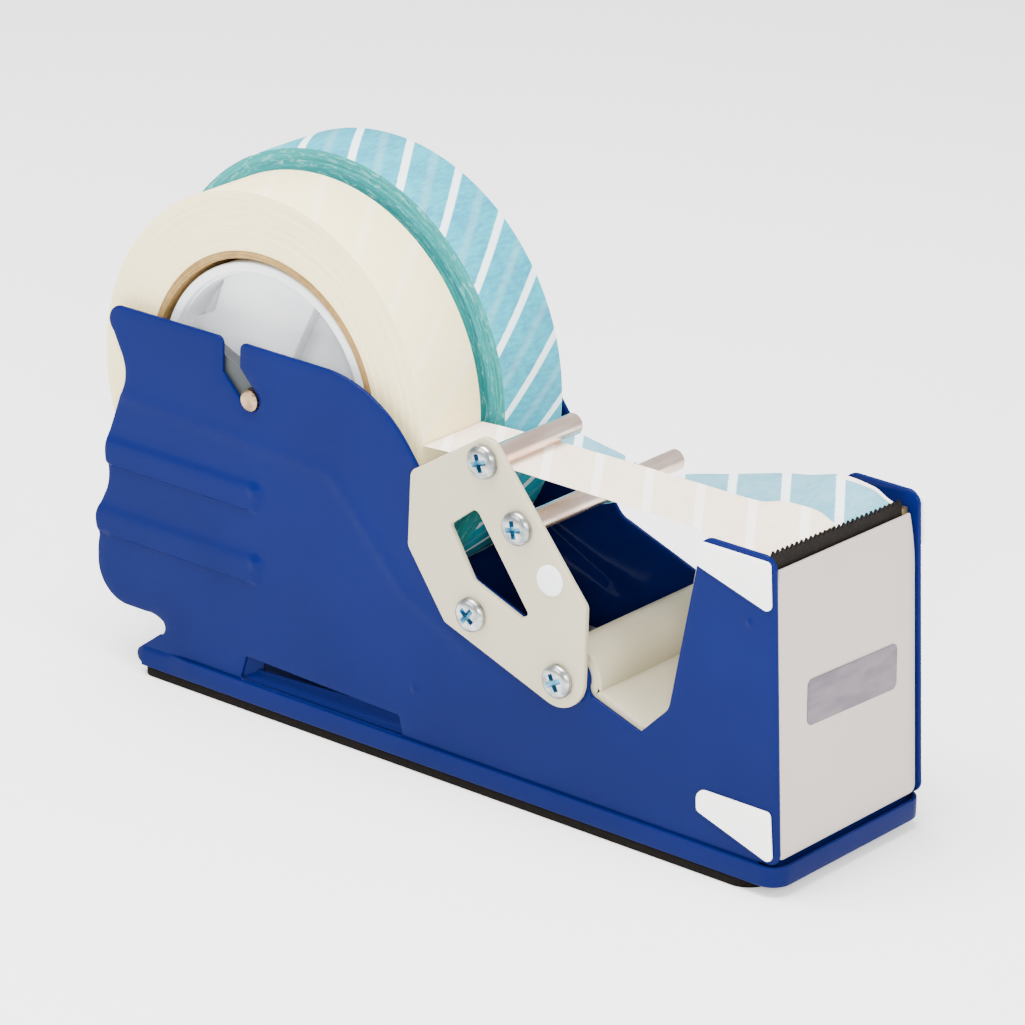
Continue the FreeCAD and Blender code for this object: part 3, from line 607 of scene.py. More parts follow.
def turned(profile, place, segments, closed=True):
    """Points and faces of a profile of (radius, along) turned round an axis; a closed one makes a ring."""
    points, rows = [], []
    for radius, along in profile:
        if radius < 1e-6:
            rows.append([len(points)] * segments)
            points.append(place(0.0, 0.0, along))
        else:
            rows.append(list(range(len(points), len(points) + segments)))
            points += [place(u, v, along) for u, v in circle((0.0, 0.0), radius, segments)]
    pairs = list(zip(rows, rows[1:] + rows[:1])) if closed else list(zip(rows, rows[1:]))
    faces = []
    for a, b in pairs:
        for i in range(segments):
            j = (i + 1) % segments
            corners = []
            for corner in (a[i], a[j], b[j], b[i]):
                if corner not in corners:
                    corners.append(corner)
            if len(corners) > 2:
                faces.append(tuple(corners))
    return points, faces


def ring(inner, outer, low, high, edge, segments):
    """Points and faces of a ring round the axle, with rounded edges."""
    return turned(rectangle(inner, low, outer, high, edge, WHOLE), on_axle, segments)


def ribbon(point, rows, columns, thickness):
    """A thin closed sheet. point(r, c) is its upper face for shares r and c from 0 to 1."""
    tiny = 1e-4
    upper, lower = [], []
    for i in range(rows + 1):
        for j in range(columns + 1):
            r, c = i / rows, j / columns
            p = point(r, c)
            across = point(r, min(1, c + tiny)) - point(r, max(0, c - tiny))
            along = point(min(1, r + tiny), c) - point(max(0, r - tiny), c)
            upper.append(p)
            lower.append(p - along.cross(across).normalized() * thickness)
    wide, count = columns + 1, len(upper)
    faces = []
    for i in range(rows):
        for j in range(columns):
            a = i * wide + j
            quad = (a, a + 1, a + wide + 1, a + wide)
            faces += [quad, tuple(count + k for k in reversed(quad))]
    rim = list(range(wide)) + [i * wide + columns for i in range(1, rows + 1)]
    rim += [rows * wide + j for j in range(columns - 1, -1, -1)] + [i * wide for i in range(rows - 1, 0, -1)]
    faces += band(rim, [count + k for k in rim])
    return upper + lower, faces


def joined(*parts):
    """Several (points, faces) as one."""
    points, faces = [], []
    for more, polygons in parts:
        faces += [tuple(len(points) + i for i in polygon) for polygon in polygons]
        points += list(more)
    return points, faces


def near_side(u, v, w):
    """Places a sheet on the outside of the near plate: u is x, v is z, w is outward."""
    return Vector((u, -OUTSIDE - w, v))


def far_side(u, v, w):
    return Vector((u, OUTSIDE + w, v))


def cover_place(u, v, w):
    """Places a sheet on the leaning front: u is y, v is up along the cover, w is outward from its face."""
    return Vector((COVER_FOOT + w * math.cos(COVER_LEAN) - v * math.sin(COVER_LEAN), u,
                   w * math.sin(COVER_LEAN) + v * math.cos(COVER_LEAN)))


def along_y(x, z, start=0.0, way=1.0):
    """Makes a function that places a piece about a line along y: w runs from start, the way given."""
    return lambda u, v, w: Vector((x + u, start + way * w, z + v))


on_axle = along_y(AXLE_X, AXLE_Z)


# ---- side plates
RIBS = ((-110.0, -54.0, 64.4), (-113.0, -53.5, 43.4))
RIB_HALF, RIB_HEIGHT = 5.2, 1.4
FOOT_STEP = 0.8
DOME_HEIGHT, DOME_RADIUS = 0.45, 3.0
DIMPLE_DEPTH, DIMPLE_RADIUS = 0.4, 1.7
CREASE_HEIGHT, CREASE_HALF = 0.36, 1.9
CREASE = ((-106.0, 80.9), (-32.5, 77.8), (-29.3, 76.1), (-4.6, 50.4), (50.0, 27.0))
DIMPLES = ((-0.7, 23.8), (109.7, 74.0))


def slot_walls():
    """The cranked axle slot: straight down from the top edge, then 45 degrees to the seat."""
    half, rise = 3.1, 7.0
    side = half / math.sqrt(2)
    middle = AXLE_X - rise
    rear_turn = AXLE_Z - side + ((AXLE_X - side) - (middle - half))
    front_turn = AXLE_Z + side + ((AXLE_X + side) - (middle + half))
    return middle - half, middle + half, rear_turn, front_turn, side


def plate_loops(screw_holes):
    rear_wall, front_wall, rear_turn, front_turn, side = slot_walls()
    floor = PAD_HEIGHT + STEEL
    outline = trace((-98.5, PAD_HEIGHT), [
        ((-101.6, 4.4), (-101.2, 7.2)),
        (-93.4, 13.2),
        ((-91.3, 15.5), (-92.8, 17.9)),
        ((-95.0, 18.7), (-98.5, 18.8)),
        (-106.0, 18.8),
        ((-113.6, 22.4), (-116.6, 30.4)),
        ((-116.5, 34.5), (-115.8, 38.4)),
        ((-116.9, 42.2), (-115.5, 47.0)),
        (-113.3, 51.6),
        ((-112.4, 56.0), (-112.9, 60.2)),
        ((-113.2, 64.6), (-111.9, 69.6)),
        (-108.0, 80.6),
        ((-106.1, 88.0), (-107.9, 94.0)),
        (-110.4, 99.0),
        ((-111.3, 104.6), (-107.2, PLATE_TOP - 0.2)),
        (rear_wall - 2.0, PLATE_TOP),
        ((rear_wall - 0.6, PLATE_TOP - 0.6), (rear_wall, PLATE_TOP - 2.0)),
        (rear_wall, rear_turn),
        (AXLE_X - side, AXLE_Z - side),
        ((AXLE_X + side, AXLE_Z - side), (AXLE_X + side, AXLE_Z + side)),
        (front_wall, front_turn),
        (front_wall, PLATE_TOP - 2.0),
        ((front_wall + 0.6, PLATE_TOP - 0.6), (front_wall + 2.0, PLATE_TOP)),
        (-34.4, PLATE_TOP),
        ((-17.9, 103.1), (-4.7, 92.4)),
        (18.4, 62.6),
        ((19.9, 61.1), (22.0, 60.2)),
        (54.2, 48.7),
        ((57.9, 46.0), (58.8, 42.4)),
        ((58.9, 39.8), (60.6, 38.6)),
        (75.7, 33.6),
        (84.0, 42.0),
        ((84.7, 43.2), (85.1, 44.6)),
        (92.8, 88.2),
        ((94.0, 92.2), (97.4, COLUMN_TOP)),
        (112.6, COLUMN_TOP),
        ((116.0, 92.4), (117.2, 89.2)),
        (121.75, 13.4),
        ((120.9, 10.0), (117.6, HEM_TOP + 0.3)),
        (115.5, HEM_TOP + 0.3),
        (115.5, floor),
        (HEM_REAR - 0.2, floor),
        (HEM_REAR - 0.2, PAD_HEIGHT),
        (-98.5, PAD_HEIGHT),
    ])
    louver = rounded([(-63.0, 8.7), (-4.6, 8.7), (-6.0, 14.3), (-61.0, 15.9)], 0.8)
    return [outline, louver] + [circle(centre, 2.0) for centre in screw_holes]


def smooth(share):
    share = min(max(share, 0.0), 1.0)
    return share * share * (3 - 2 * share)


def hill(distance):
    """A smooth hump, from 1 at no distance down to 0 at a distance of 1 and more."""
    return max(0.0, 1 - distance * distance) ** 2


def plate_relief(u, v):
    """Height of the pressed beads, the dome at each bead's front end, the soft crease and the two dimples."""
    height = 0.0
    for _, front, middle in RIBS:
        end = front - RIB_HALF
        away = math.hypot(max(0.0, u - end), v - middle) / RIB_HALF
        if away < 1:
            soft = smooth((1 - away) / (0.95 if v > middle else 0.07))
            turn = smooth((u - end) / RIB_HALF * 1.6)
            bead = 0.55 * soft * (1 - turn) + 0.3 * turn * smooth((1 - away) / 0.8)
            height = max(height, RIB_HEIGHT * bead)
        height += DOME_HEIGHT * hill(math.hypot(u - end - 1.5, v - middle - 1.0) / DOME_RADIUS)
    nearest = 1e9
    for (x0, z0), (x1, z1) in zip(CREASE, CREASE[1:]):
        run = ((u - x0) * (x1 - x0) + (v - z0) * (z1 - z0)) / ((x1 - x0) ** 2 + (z1 - z0) ** 2)
        run = min(max(run, 0.0), 1.0)
        nearest = min(nearest, math.hypot(u - x0 - run * (x1 - x0), v - z0 - run * (z1 - z0)))
    fade = 1 - smooth((u - 10.0) / 40.0)
    height += CREASE_HEIGHT * fade * math.exp(-((nearest / CREASE_HALF) ** 2))
    for x, z in DIMPLES:
        height += DIMPLE_DEPTH * hill(math.hypot(u - x, v - z) / DIMPLE_RADIUS)
    return height


def rib_foot_points():
    """Rows of points either side of each bead's sharp lower edge."""
    return [(rear + FOOT_STEP * i, middle - RIB_HALF * share)
            for rear, front, middle in RIBS for share in (0.9, 1.0)
            for i in range(int((front - RIB_HALF - rear) / FOOT_STEP)) if rear + FOOT_STEP * i > -112.0]


def side_plates():
    beads, crease = (-118.0, 36.0, -50.0, 71.5, 0.9), (-118.0, 72.5, -22.0, 86.0, 1.6)
    crease_end = (-26.0, 38.0, 16.0, 72.0, 1.6)
    fine = [beads, crease, crease_end, (-4.0, 20.5, 2.6, 27.0, 0.6), (106.4, 70.8, 113.0, 77.2, 0.6)]
    for side, place, holes in (("near", near_side, PLATE_SCREWS), ("far", far_side, ())):
        made = sheet(plate_loops(holes), STEEL, place, 0.38, 3.0, fine, plate_relief, extra=rib_foot_points())
        piece(side + "_pressed_plate", *made, BLUE, "frame", "blue_paint", [side + "_side_plate"])


def louver_lips():
    """The lower lip of each louver, which leans inward and rises to the front, and the tongue at its rear."""
    for side, sign in (("near", -1), ("far", 1)):
        def lip(r, c, sign=sign):
            rise = (2.6 + 2.6 * r) * c
            return Vector((-62.0 + 56.6 * r, sign * (INSIDE + 0.1 - 2.2 * smooth(c)), 8.7 + rise))

        def tongue(r, c, sign=sign):
            rise = (6.4 - 2.4 * r) * c + 0.9 * r
            return Vector((-62.4 + 4.2 * r, sign * (INSIDE + 0.3 - 3.4 * r), 9.0 + rise))
        for name, form, rows in (("lip", lip, 40), ("tongue", tongue, 8)):
            points, faces = ribbon(form, rows, 6, 0.8)
            bevel(piece(f"{side}_louver_{name}", points, faces, BLUE, "frame", "blue_paint"), 0.12)


# ---- base
def tray():
    """Base plate with a turned-up hem round its sides and front, and the rise behind the cover's foot."""
    half = OUTSIDE + STEEL
    corner = HEM_CORNER
    bend = [(BASE_FRONT - corner + corner * math.sin(a), -half + corner - corner * math.cos(a))
            for a in (math.pi / 2 * k / 12 for k in range(13))]
    near = [(HEM_FADE - 17.0 * (1 - k / 20), -half) for k in range(21)] + bend
    line = near + [(x, -y) for x, y in reversed(near)]
    bottom, t = PAD_HEIGHT, STEEL
    profile = [(0.0, bottom + 0.6), (0.08, bottom + 0.3), (0.3, bottom + 0.08), (0.6, bottom), (5.0, bottom),
               (5.0, bottom + t), (t + 0.9, bottom + t), (t + 0.25, bottom + t + 0.25), (t, bottom + t + 0.9),
               (t, HEM_TOP - 0.3), (t - 0.12, HEM_TOP - 0.09), (t - 0.35, HEM_TOP), (0.4, HEM_TOP),
               (0.12, HEM_TOP - 0.1), (0.0, HEM_TOP - 0.4)]
    points = []
    for i, here in enumerate(line):
        ahead = Vector(line[min(i + 1, len(line) - 1)]) - Vector(line[max(i - 1, 0)])
        left = Vector((-ahead.y, ahead.x)).normalized()
        fade = (half - OUTSIDE - 0.06) * smooth((HEM_FADE - here[0]) / 9.0)
        for d, z in profile:
            sunk = d + fade * smooth((z - bottom) / (HEM_TOP - bottom))
            points.append(Vector((here[0] + left.x * sunk, here[1] + left.y * sunk, z)))
    wide = len(profile)
    rows = [list(range(i * wide, (i + 1) * wide)) for i in range(len(line))]
    faces = [face for before, after in zip(rows, rows[1:]) for face in band(before, after)]
    faces += [tuple(rows[0]), tuple(reversed(rows[-1]))]
    floor = sheet([rectangle(-97.0, -30.2, 118.5, 30.2, [2.0, 3.0, 3.0, 2.0], 20)],
                  STEEL, lambda u, v, w: Vector((u, v, bottom + t + w)), 0.2, 20.0)
    rise = sheet([[(-28.2, bottom + 0.4), (28.2, bottom + 0.4), (28.2, 13.0), (-28.2, 13.0)]], 1.0,
                 lambda u, v, w: Vector((119.1 + w, u, v)), 0.2, 20.0)
    piece("folded_tray", *joined((points, faces), floor, rise), BLUE, "frame", "blue_paint", ["base_tray"])


def foot_pad():
    (rear, front), half = span("base_pad", "x"), span("base_pad", "y")[1]
    outline = rectangle(rear, -half, front, half, [3.0, 7.0, 7.0, 3.0])
    made = sheet([outline], PAD_HEIGHT - 0.02, lambda u, v, w: Vector((u, v, PAD_HEIGHT + w)), 0.35, 12.0)
    piece("foam_foot", *made, FOAM, "frame", "black_foam", ["base_pad"])


# ---- front cover, blade and label
def front_cover():
    """The panel, a little askew at its top, with a fold down each side."""
    half = INSIDE - 0.2
    outline = trace((2.5 - half, COVER_BOTTOM), [
        (half - 2.5, COVER_BOTTOM),
        ((half - 0.7, COVER_BOTTOM + 0.7), (half, COVER_BOTTOM + 2.5)),
        (half, 70.0),
        ((half - 0.4, 80.0), (half - 2.0, COVER_TOP - COVER_DROP)),
        (2.0 - half, COVER_TOP + COVER_DROP),
        ((0.4 - half, 80.0), (-half, 70.0)),
        (-half, COVER_BOTTOM + 2.5),
        ((0.7 - half, COVER_BOTTOM + 0.7), (2.5 - half, COVER_BOTTOM)),
    ])
    panel = sheet([outline], STEEL, cover_place, 0.5, 6.0)
    folds = []
    for inner in (-half, half - STEEL):
        flange = [(-5.0, COVER_BOTTOM + 2), (-0.6, COVER_BOTTOM + 2), (-0.6, 69.0), (-5.0, 69.0)]
        folds.append(sheet([flange], STEEL, lambda u, v, w, y=inner + STEEL: cover_place(y + w, v, u),
                           0.2, 20.0))
    piece("front_panel", *joined(panel, *folds), COVER_PAINT, "frame", "ivory_paint", ["front_cover"])


def blade():
    """A toothed strip with screw holes, clamped a little askew so that its far end sits lower."""
    near, far = span("cutting_blade", "y")
    pitch, valley = 2.0, BLADE_TOP - TOOTH_DEPTH

    def drop(y):
        return BLADE_DROP * (2 * (y - near) / (far - near) - 1)
    outline = [(near, BLADE_BOTTOM), (far, BLADE_BOTTOM), (far, valley)]
    for tooth in range(int(round((far - near) / pitch)), 0, -1):
        outline += [(near + pitch * (tooth - 0.5), BLADE_TOP), (near + pitch * (tooth - 1), valley)]
    outline = [(y, z - drop(y) if z > BLADE_BOTTOM else z) for y, z in outline]
    holes = [circle((y, CLAMP_HEIGHT), 1.75, 24) for y in (-15.0, 15.0)]
    made = sheet([outline] + holes, 0.75, lambda u, v, w: cover_place(u, v, w - STEEL - 0.05), 0.06, 4.0,
                 steps=1)
    piece("toothed_blade", *made, BLACK, "frame", "black_blade", ["cutting_blade"], sharp=25)


LABEL_MIDDLE, LABEL_SIZE, LABEL_TURN = (2.1, 49.0), (39.0, 12.6), math.radians(2.3)


def label():
    """A blank foil label, set slightly askew."""
    w, h = LABEL_SIZE[0] / 2, LABEL_SIZE[1] / 2
    outline = rectangle(-w, -h, w, h, 2.0)
    c, s = math.cos(LABEL_TURN), math.sin(LABEL_TURN)

    def place(u, v, out):
        return cover_place(LABEL_MIDDLE[0] + u * c + v * s, LABEL_MIDDLE[1] - u * s + v * c, out + 0.28)
    made = sheet([outline], 0.26, place, 0.1, 4.0)
    piece("blank_label", *made, FOIL, "frame", "silver_label", ["label_plate"])


# ---- well cover
def well_cover():
    """Rolled nose, sloping floor of the well and back wall of the column, from one bent sheet."""
    nose_middle, flange_radius = (52.5, 42.0), 7.95
    nose = arc(nose_middle, 8.0, 205, -15, 40)
    valley, bend, top = (78.0, 33.1), (85.3, 40.9), (92.4, 84.0)
    foot = rounded_corner(nose[-1], valley, bend, 1.4)
    back = rounded_corner(valley, bend, top, 2.2)
    line = nose + foot + back + [top]
    half = INSIDE - 0.2

    def point(share, across):
        spot = share * (len(line) - 1)
        i = min(int(spot), len(line) - 2)
        t = spot - i
        (x0, z0), (x1, z1) = line[i], line[i + 1]
        return Vector((x0 * (1 - t) + x1 * t, half * (1 - 2 * across), z0 * (1 - t) + z1 * t))
    points, faces = ribbon(point, len(line) - 1, 8, STEEL)
    bevel(piece("well_sheet", points, faces, IVORY, "frame", "ivory_paint", ["well_cover"], sharp=30), 0.25)
    rim = arc(nose_middle, flange_radius, 72, -15, 14)
    flange = rim + [(77.8, 33.0), (85.4, 40.8), (87.6, 39.6), (78.6, 29.0), (54.9, 36.6)]
    for side, y in (("near", -half), ("far", half - 0.9)):
        made = sheet([flange], 0.9, lambda u, v, w, y=y: Vector((u, y - w, v)), 0.15, 8.0)
        piece(side + "_well_flange", *made, IVORY, "frame", "ivory_paint")


def rounded_corner(before, corner, after, radius):
    """Points round one corner of an open line."""
    c = Vector(corner)
    a, b = (Vector(before) - c).normalized(), (Vector(after) - c).normalized()
    half = a.angle(b) / 2
    enter, leave = c + a * radius / math.tan(half), c + b * radius / math.tan(half)
    middle = c + (a + b).normalized() * (radius / math.sin(half) - radius)
    return [tuple(enter)] + arc_points(tuple(enter), tuple(middle), tuple(leave))


# ---- guide bracket, rods, screws and plug
BRACKET = ([(-1.9, 86.6), (24.8, 104.0), (58.2, 64.2), (58.2, 29.8), (10.7, 46.9), (-2.4, 65.2)],
           [3.0, 5.0, 2.5, 9.0, 2.0, 3.0])
WINDOW = ([(11.9, 75.0), (20.8, 82.0), (39.3, 56.8), (36.6, 55.2), (20.4, 61.3)], [1.2, 1.8, 0.9, 0.9, 1.2])


def guide_bracket():
    holes = [circle(c, 2.0) for c in (UPPER_ROD, LOWER_ROD, *PLATE_SCREWS)] + [circle(PLUG, 2.9)]
    made = sheet([rounded(*BRACKET), rounded(*WINDOW)] + holes, BRACKET_THICK,
                 lambda u, v, w: near_side(u, v, w + BRACKET_THICK), 0.45, 4.0)
    piece("bracket_plate", *made, IVORY, "frame", "ivory_paint", ["guide_bracket"])


def rod_profile(radius, start, end, edge, bore):
    """A rod with chamfered ends and a shallow centre hole in its far end."""
    return [(0.0, start), (radius - edge, start), (radius, start + edge), (radius, end - edge),
            (radius - edge, end), (bore, end), (bore * 0.75, end - 0.5), (bore * 0.7, end - 2.5),
            (0.0, end - 2.5)]


def rods():
    for which, place in (("upper", UPPER_ROD), ("lower", LOWER_ROD)):
        end = span(which + "_guide_rod", "y")[1]
        made = turned(rod_profile(3.0, -OUTSIDE, end, 0.35, 0.9), along_y(*place), 64, False)
        piece(which + "_rod", *made, NICKEL, "frame", "nickel", [which + "_guide_rod"], sharp=25)


def screw(name, x, z, turn, node):
    """A pan-head screw with a tapered cross recess, its head on the outside of the guide bracket."""
    r, h = HEAD_RADIUS, HEAD_HEIGHT
    face = OUTSIDE + BRACKET_THICK
    side, top = 0.38, 0.62
    dome = [(r * math.cos(a) ** top, h * (side + top * math.sin(a)))
            for a in (math.pi / 2 * k / 9 for k in range(9))]
    profile = [(0.0, -6.0), (1.95, -6.0), (1.95, 0.0), (r - 0.25, 0.0), (r, 0.25)] + dome + [(0.0, h)]
    place = along_y(x, z, -face, -1.0)
    head = piece(name, *turned(profile, place, 72, False), ZINC, "frame", "zinc_screws", [node], sharp=35)
    arm, thick, taper, deep = 3.0, 0.8, 0.55, 1.5
    corners = []
    for k in range(4):
        a = turn + math.pi / 2 * k
        out = Vector(spoke(1.0, a))
        left = Vector((-out.y, out.x))
        corners += [(out, left, arm, -thick), (out, left, arm, thick), (out, left, thick, thick)]
    points = []
    for depth, reach, width in ((h + 1.0, 1.1, 1.1), (h - deep, taper, 0.7)):
        for out, left, far, across in corners:
            p = out * (far * (reach if far == arm else width)) + left * across * width
            points.append(place(p.x, p.y, depth))
    count = len(corners)
    outer, inner = list(range(count)), list(range(count, 2 * count))
    faces = [tuple(outer), tuple(reversed(inner))] + band(outer, inner)
    cutter = piece(name + "_cutter", points, faces, ZINC, "frame")
    carve = head.modifiers.new("recess", "BOOLEAN")
    carve.object, carve.operation, carve.solver = cutter, "DIFFERENCE", "EXACT"
    bpy.context.view_layer.update()
    carved = bpy.data.meshes.new_from_object(head.evaluated_get(bpy.context.evaluated_depsgraph_get()))
    head.modifiers.clear()
    head.data = carved
    # the recess walls take the painted shade and reflection colour instead of the head's zinc
    carved.materials.append(RECESS_SHADE)
    for polygon in carved.polygons:
        middle = polygon.center / MM
        away, out = math.hypot(middle.x - x, middle.z - z), -middle.y - face
        crown = h * (side + top * math.sqrt(max(0.0, 1 - (away / r) ** 3.2)))
        if away < arm * 1.15 and 0.2 < out < crown - 0.12:
            polygon.material_index = 1
    carved.set_sharp_from_angle(angle=math.radians(35))
    bpy.data.objects.remove(cutter)
    return bevel(head, 0.08, 2, 50)


def screws():
    for name, (x, z), turn, node in (
            ("upper_rod", UPPER_ROD, 0.35, "rod_screws"),
            ("lower_rod", LOWER_ROD, 0.2, "rod_screws"),
            ("rear_plate", PLATE_SCREWS[0], 0.9, "bracket_screws"),
            ("front_plate", PLATE_SCREWS[1], 0.5, "bracket_screws")):
        screw(name + "_screw", x, z, turn, node)


def plug():
    r, face = 4.3, OUTSIDE + BRACKET_THICK
    dome = [(r * math.cos(a), 0.25 + 0.75 * math.sin(a)) for a in (math.pi / 2 * k / 8 for k in range(8))]
    profile = [(0.0, -2.0), (2.8, -2.0), (2.8, 0.0), (r, 0.0)] + dome + [(0.0, 1.0)]
    made = turned(profile, along_y(*PLUG, -face, -1.0), 64, False)
    piece("plug_button", *made, WHITE, "frame", "white_plastic", ["hole_plug"])


# ---- corner pads
PAD_THICK = 0.9
PADS = {
    "upper": [(91.7, 92.2), (115.9, 92.2), (116.9, 78.2), (92.6, 85.4)],
    "lower": [(95.0, 24.0), (119.0, 24.0), (120.4, 9.4), (95.4, 17.6)],
}


def corner_pads():
    for side, place in (("near", near_side), ("far", far_side)):
        for level, corners in PADS.items():
            name = f"{side}_{level}_corner_pad"
            shift = span(name, "x")[0] - span(f"near_{level}_corner_pad", "x")[0]
            moved = [(u + shift, v) for u, v in corners]
            outline = rounded(moved, [3.0, 1.4, 1.8, 1.4])
            made = sheet([outline], PAD_THICK, lambda u, v, w: place(u, v, w + PAD_THICK), 0.4, 4.0)
            piece(name.replace("corner", "stuck"), *made, FELT, "frame", "white_felt", [name])


# ---- axle, hubs, cores and tape
def axle():
    low, high = span("roll_axle", "y")
    r, edge = AXLE_RADIUS, 0.45
    profile = [(0.0, low), (r - 0.55, low), (r, low + edge), (r, high - edge), (r - 0.55, high), (0.0, high)]
    made = turned(profile, on_axle, 64, False)
    piece("axle_bar", *made, AXLE_STEEL, "axle", "nickel", ["roll_axle"], sharp=25)
    for which in ("middle", "far"):
        start, end = span(which + "_spacer", "y")
        made = ring(r, COLLAR_RADIUS, start, end, 0.3, 64)
        piece(which + "_collar", *made, GREY, "axle", "grey_plastic", [which + "_spacer"])
    start, end = span("near_spacer", "y")
    made = sheet([armed_collar(), circle((0.0, 0.0), r)], end - start,
                 along_y(AXLE_X, AXLE_Z, start, -1.0), 0.3, 3.0)
    piece("near_armed_collar", *made, GREY, "axle", "grey_plastic", ["near_spacer"])


def armed_collar():
    """Outline of the near collar and its round-tipped arm, about the axle."""
    def at(along, across):
        return (-along * math.cos(ARM_RISE) + across * math.sin(ARM_RISE),
                along * math.sin(ARM_RISE) + across * math.cos(ARM_RISE))
    root = math.sqrt(COLLAR_RADIUS ** 2 - ARM_HALF ** 2)
    return trace(at(root, ARM_HALF), [
        (at(*spoke(COLLAR_RADIUS, 2.0)), at(-COLLAR_RADIUS, 0.0)),
        (at(*spoke(COLLAR_RADIUS, -2.0)), at(root, -ARM_HALF)),
        at(ARM_REACH, -ARM_HALF),
        (at(ARM_REACH + ARM_HALF, 0.0), at(ARM_REACH, ARM_HALF)),
    ])


STEP_ANGLE = math.radians(65)
NOTCH = (math.radians(125), math.radians(159), (-23.9, 16.9))
STEP_DEPTH = 4.0


def hub(side):
    """A moulded wheel: beaded rim, a web on two levels with a notch by the rim, and a bored boss."""
    start, end = span(side + "_hub", "y")
    rings = [
        ring(HUB_INNER, HUB_OUTER, start, end, 0.55, 160),
        ring(BORE_RADIUS, BOSS_RADIUS, start, end, 0.4, 160),
        ring(HUB_INNER - 0.6, HUB_INNER + 0.4, start + 1.6, end - 1.6, 0.3, 160),
    ]
    reach, boss_reach = HUB_INNER + 0.5, BOSS_RADIUS - 1.0

    def along_rim(first, last):
        return spoke(reach, (first + last) / 2), spoke(reach, last)
    raised = trace(spoke(reach, STEP_ANGLE), [
        along_rim(STEP_ANGLE, NOTCH[0]),
        NOTCH[2],
        spoke(reach, NOTCH[1]),
        along_rim(NOTCH[1], STEP_ANGLE + math.pi),
        spoke(boss_reach, STEP_ANGLE + math.pi),
        spoke(boss_reach, STEP_ANGLE),
        spoke(reach, STEP_ANGLE),
    ])
    web_place = along_y(AXLE_X, AXLE_Z, start + WEB_DEPTH, -1.0)
    level = sheet([raised], STEP_DEPTH + 0.5, web_place, 0.4, 4.0)
    floor = sheet([circle((0, 0), reach, 120), circle((0, 0), boss_reach, 32)], 2.0,
                  lambda u, v, w: web_place(u, v, w - STEP_DEPTH), 0.1, 5.0)
    made = joined(level, floor, *rings)
    piece(side + "_wheel", *made, WHITE, side + "_roll", "white_plastic", [side + "_hub"])


def core(side):
    made = ring(CORE_INNER, CORE_OUTER, *span(side + "_core", "y"), 0.3, 180)
    piece(side + "_board_core", *made, BOARD, side + "_roll", "cardboard", [side + "_core"])


TAPE_THICK = 0.14
TAPE_SLOTS = {"near": "cream_tape", "far": "teal_tape"}


def tape_roll(side, face, edge):
    """Wound tape: its sides have slight ridges where turns stand proud, and its face is faintly crowned."""
    low, high, radius = ROLLS[side]
    inner, rings, segments = CORE_OUTER + 0.02, 46, 240
    depth = radius - 0.5 - inner
    near = []
    for k in range(rings + 1):
        ripple = 0.09 + (0.05 * math.sin(2.1 * k) + 0.04 * math.sin(0.83 * k + 1.0))
        near.append((inner + depth * k / rings, low + ripple))
    crown = [(radius - 0.2, low + 0.12), (radius - 0.05, low + 0.5), (radius, (low + high) / 2),
             (radius - 0.05, high - 0.5), (radius - 0.2, high - 0.12)]
    far = [(r, low + high - y) for r, y in reversed(near)]
    profile = near + crown + far
    zones = [int(rings < i < rings + len(crown)) for i in range(len(profile)) for _ in range(segments)]
    piece(side + "_wound_tape", *turned(profile, on_axle, segments), [edge, face], side + "_roll",
          TAPE_SLOTS[side], [side + "_tape_roll"], sharp=35, zones=zones)


def curve_through(points):
    """A smooth line through the points, as a function of a share from 0 to 1 of its length."""
    lengths = [0.0]
    for a, b in zip(points, points[1:]):
        lengths.append(lengths[-1] + math.dist(a, b))
    stops = [length / lengths[-1] for length in lengths]
    slopes = []
    for i in range(len(points)):
        a, b = max(i - 1, 0), min(i + 1, len(points) - 1)
        slopes.append([(points[b][k] - points[a][k]) / (stops[b] - stops[a]) for k in (0, 1)])

    def at(share):
        i = max(k for k in range(len(stops) - 1) if stops[k] <= share)
        wide = stops[i + 1] - stops[i]
        t = (share - stops[i]) / wide
        h = (2 * t**3 - 3 * t**2 + 1, (t**3 - 2 * t**2 + t) * wide, 3 * t**2 - 2 * t**3, (t**3 - t**2) * wide)
        return [h[0] * points[i][k] + h[1] * slopes[i][k] + h[2] * points[i + 1][k] + h[3] * slopes[i + 1][k]
                for k in (0, 1)]
    return at


NEAR_LINE = [(-2.5, 91.7), (6.4, 92.25), (23.2, 92.8), (30.6, 92.95), (60.0, 93.0), (80.0, 93.1),
             (104.0, 93.1), (113.5, 92.4)]
FAR_LINE = [(3.0, 85.7), (8.0, 83.6), (15.0, 82.3), (25.0, 80.7), (33.9, 77.6), (36.3, 77.4), (45.4, 81.1),
            (60.0, 85.0), (69.2, 87.6), (77.0, 89.7), (85.0, 91.3), (93.3, 92.4), (102.0, 92.7),
            (113.5, 91.7)]


def near_shape(x, across):
    """Sideways drift and lift of the near tape; across runs from 0 at its far edge to 1 at its near edge."""
    settled = smooth((x - 86.0) / 10.0) * across
    drift = 2.0 * smooth((x - 84.0) / 24.0) * (1 - across) - 2.6 * settled
    hump = smooth((x - 90.0) / 8.0) * (1 - smooth((x - 107.0) / 7.0))
    slope = 0.25 * (1 - across) * smooth((x - 30.0) / 20.0)
    return drift, 1.7 * hump * smooth((0.5 - across) * 2) + slope - 0.6 * settled


def far_shape(x, across):
    """Sideways drift and lift of the far tape, whose far edge bows up before the blade."""
    drift = -1.5 * smooth((x - 92.0) / 20.0) * (1 - 0.3 * across)
    hump = smooth((x - 84.0) / 14.0) * (1 - smooth((x - 107.0) / 6.5))
    sag = 0.8 * smooth((x - 60.0) / 30.0) * smooth(across * 1.3)
    return drift, 1.8 * hump * smooth(1 - across * 1.6) - sag


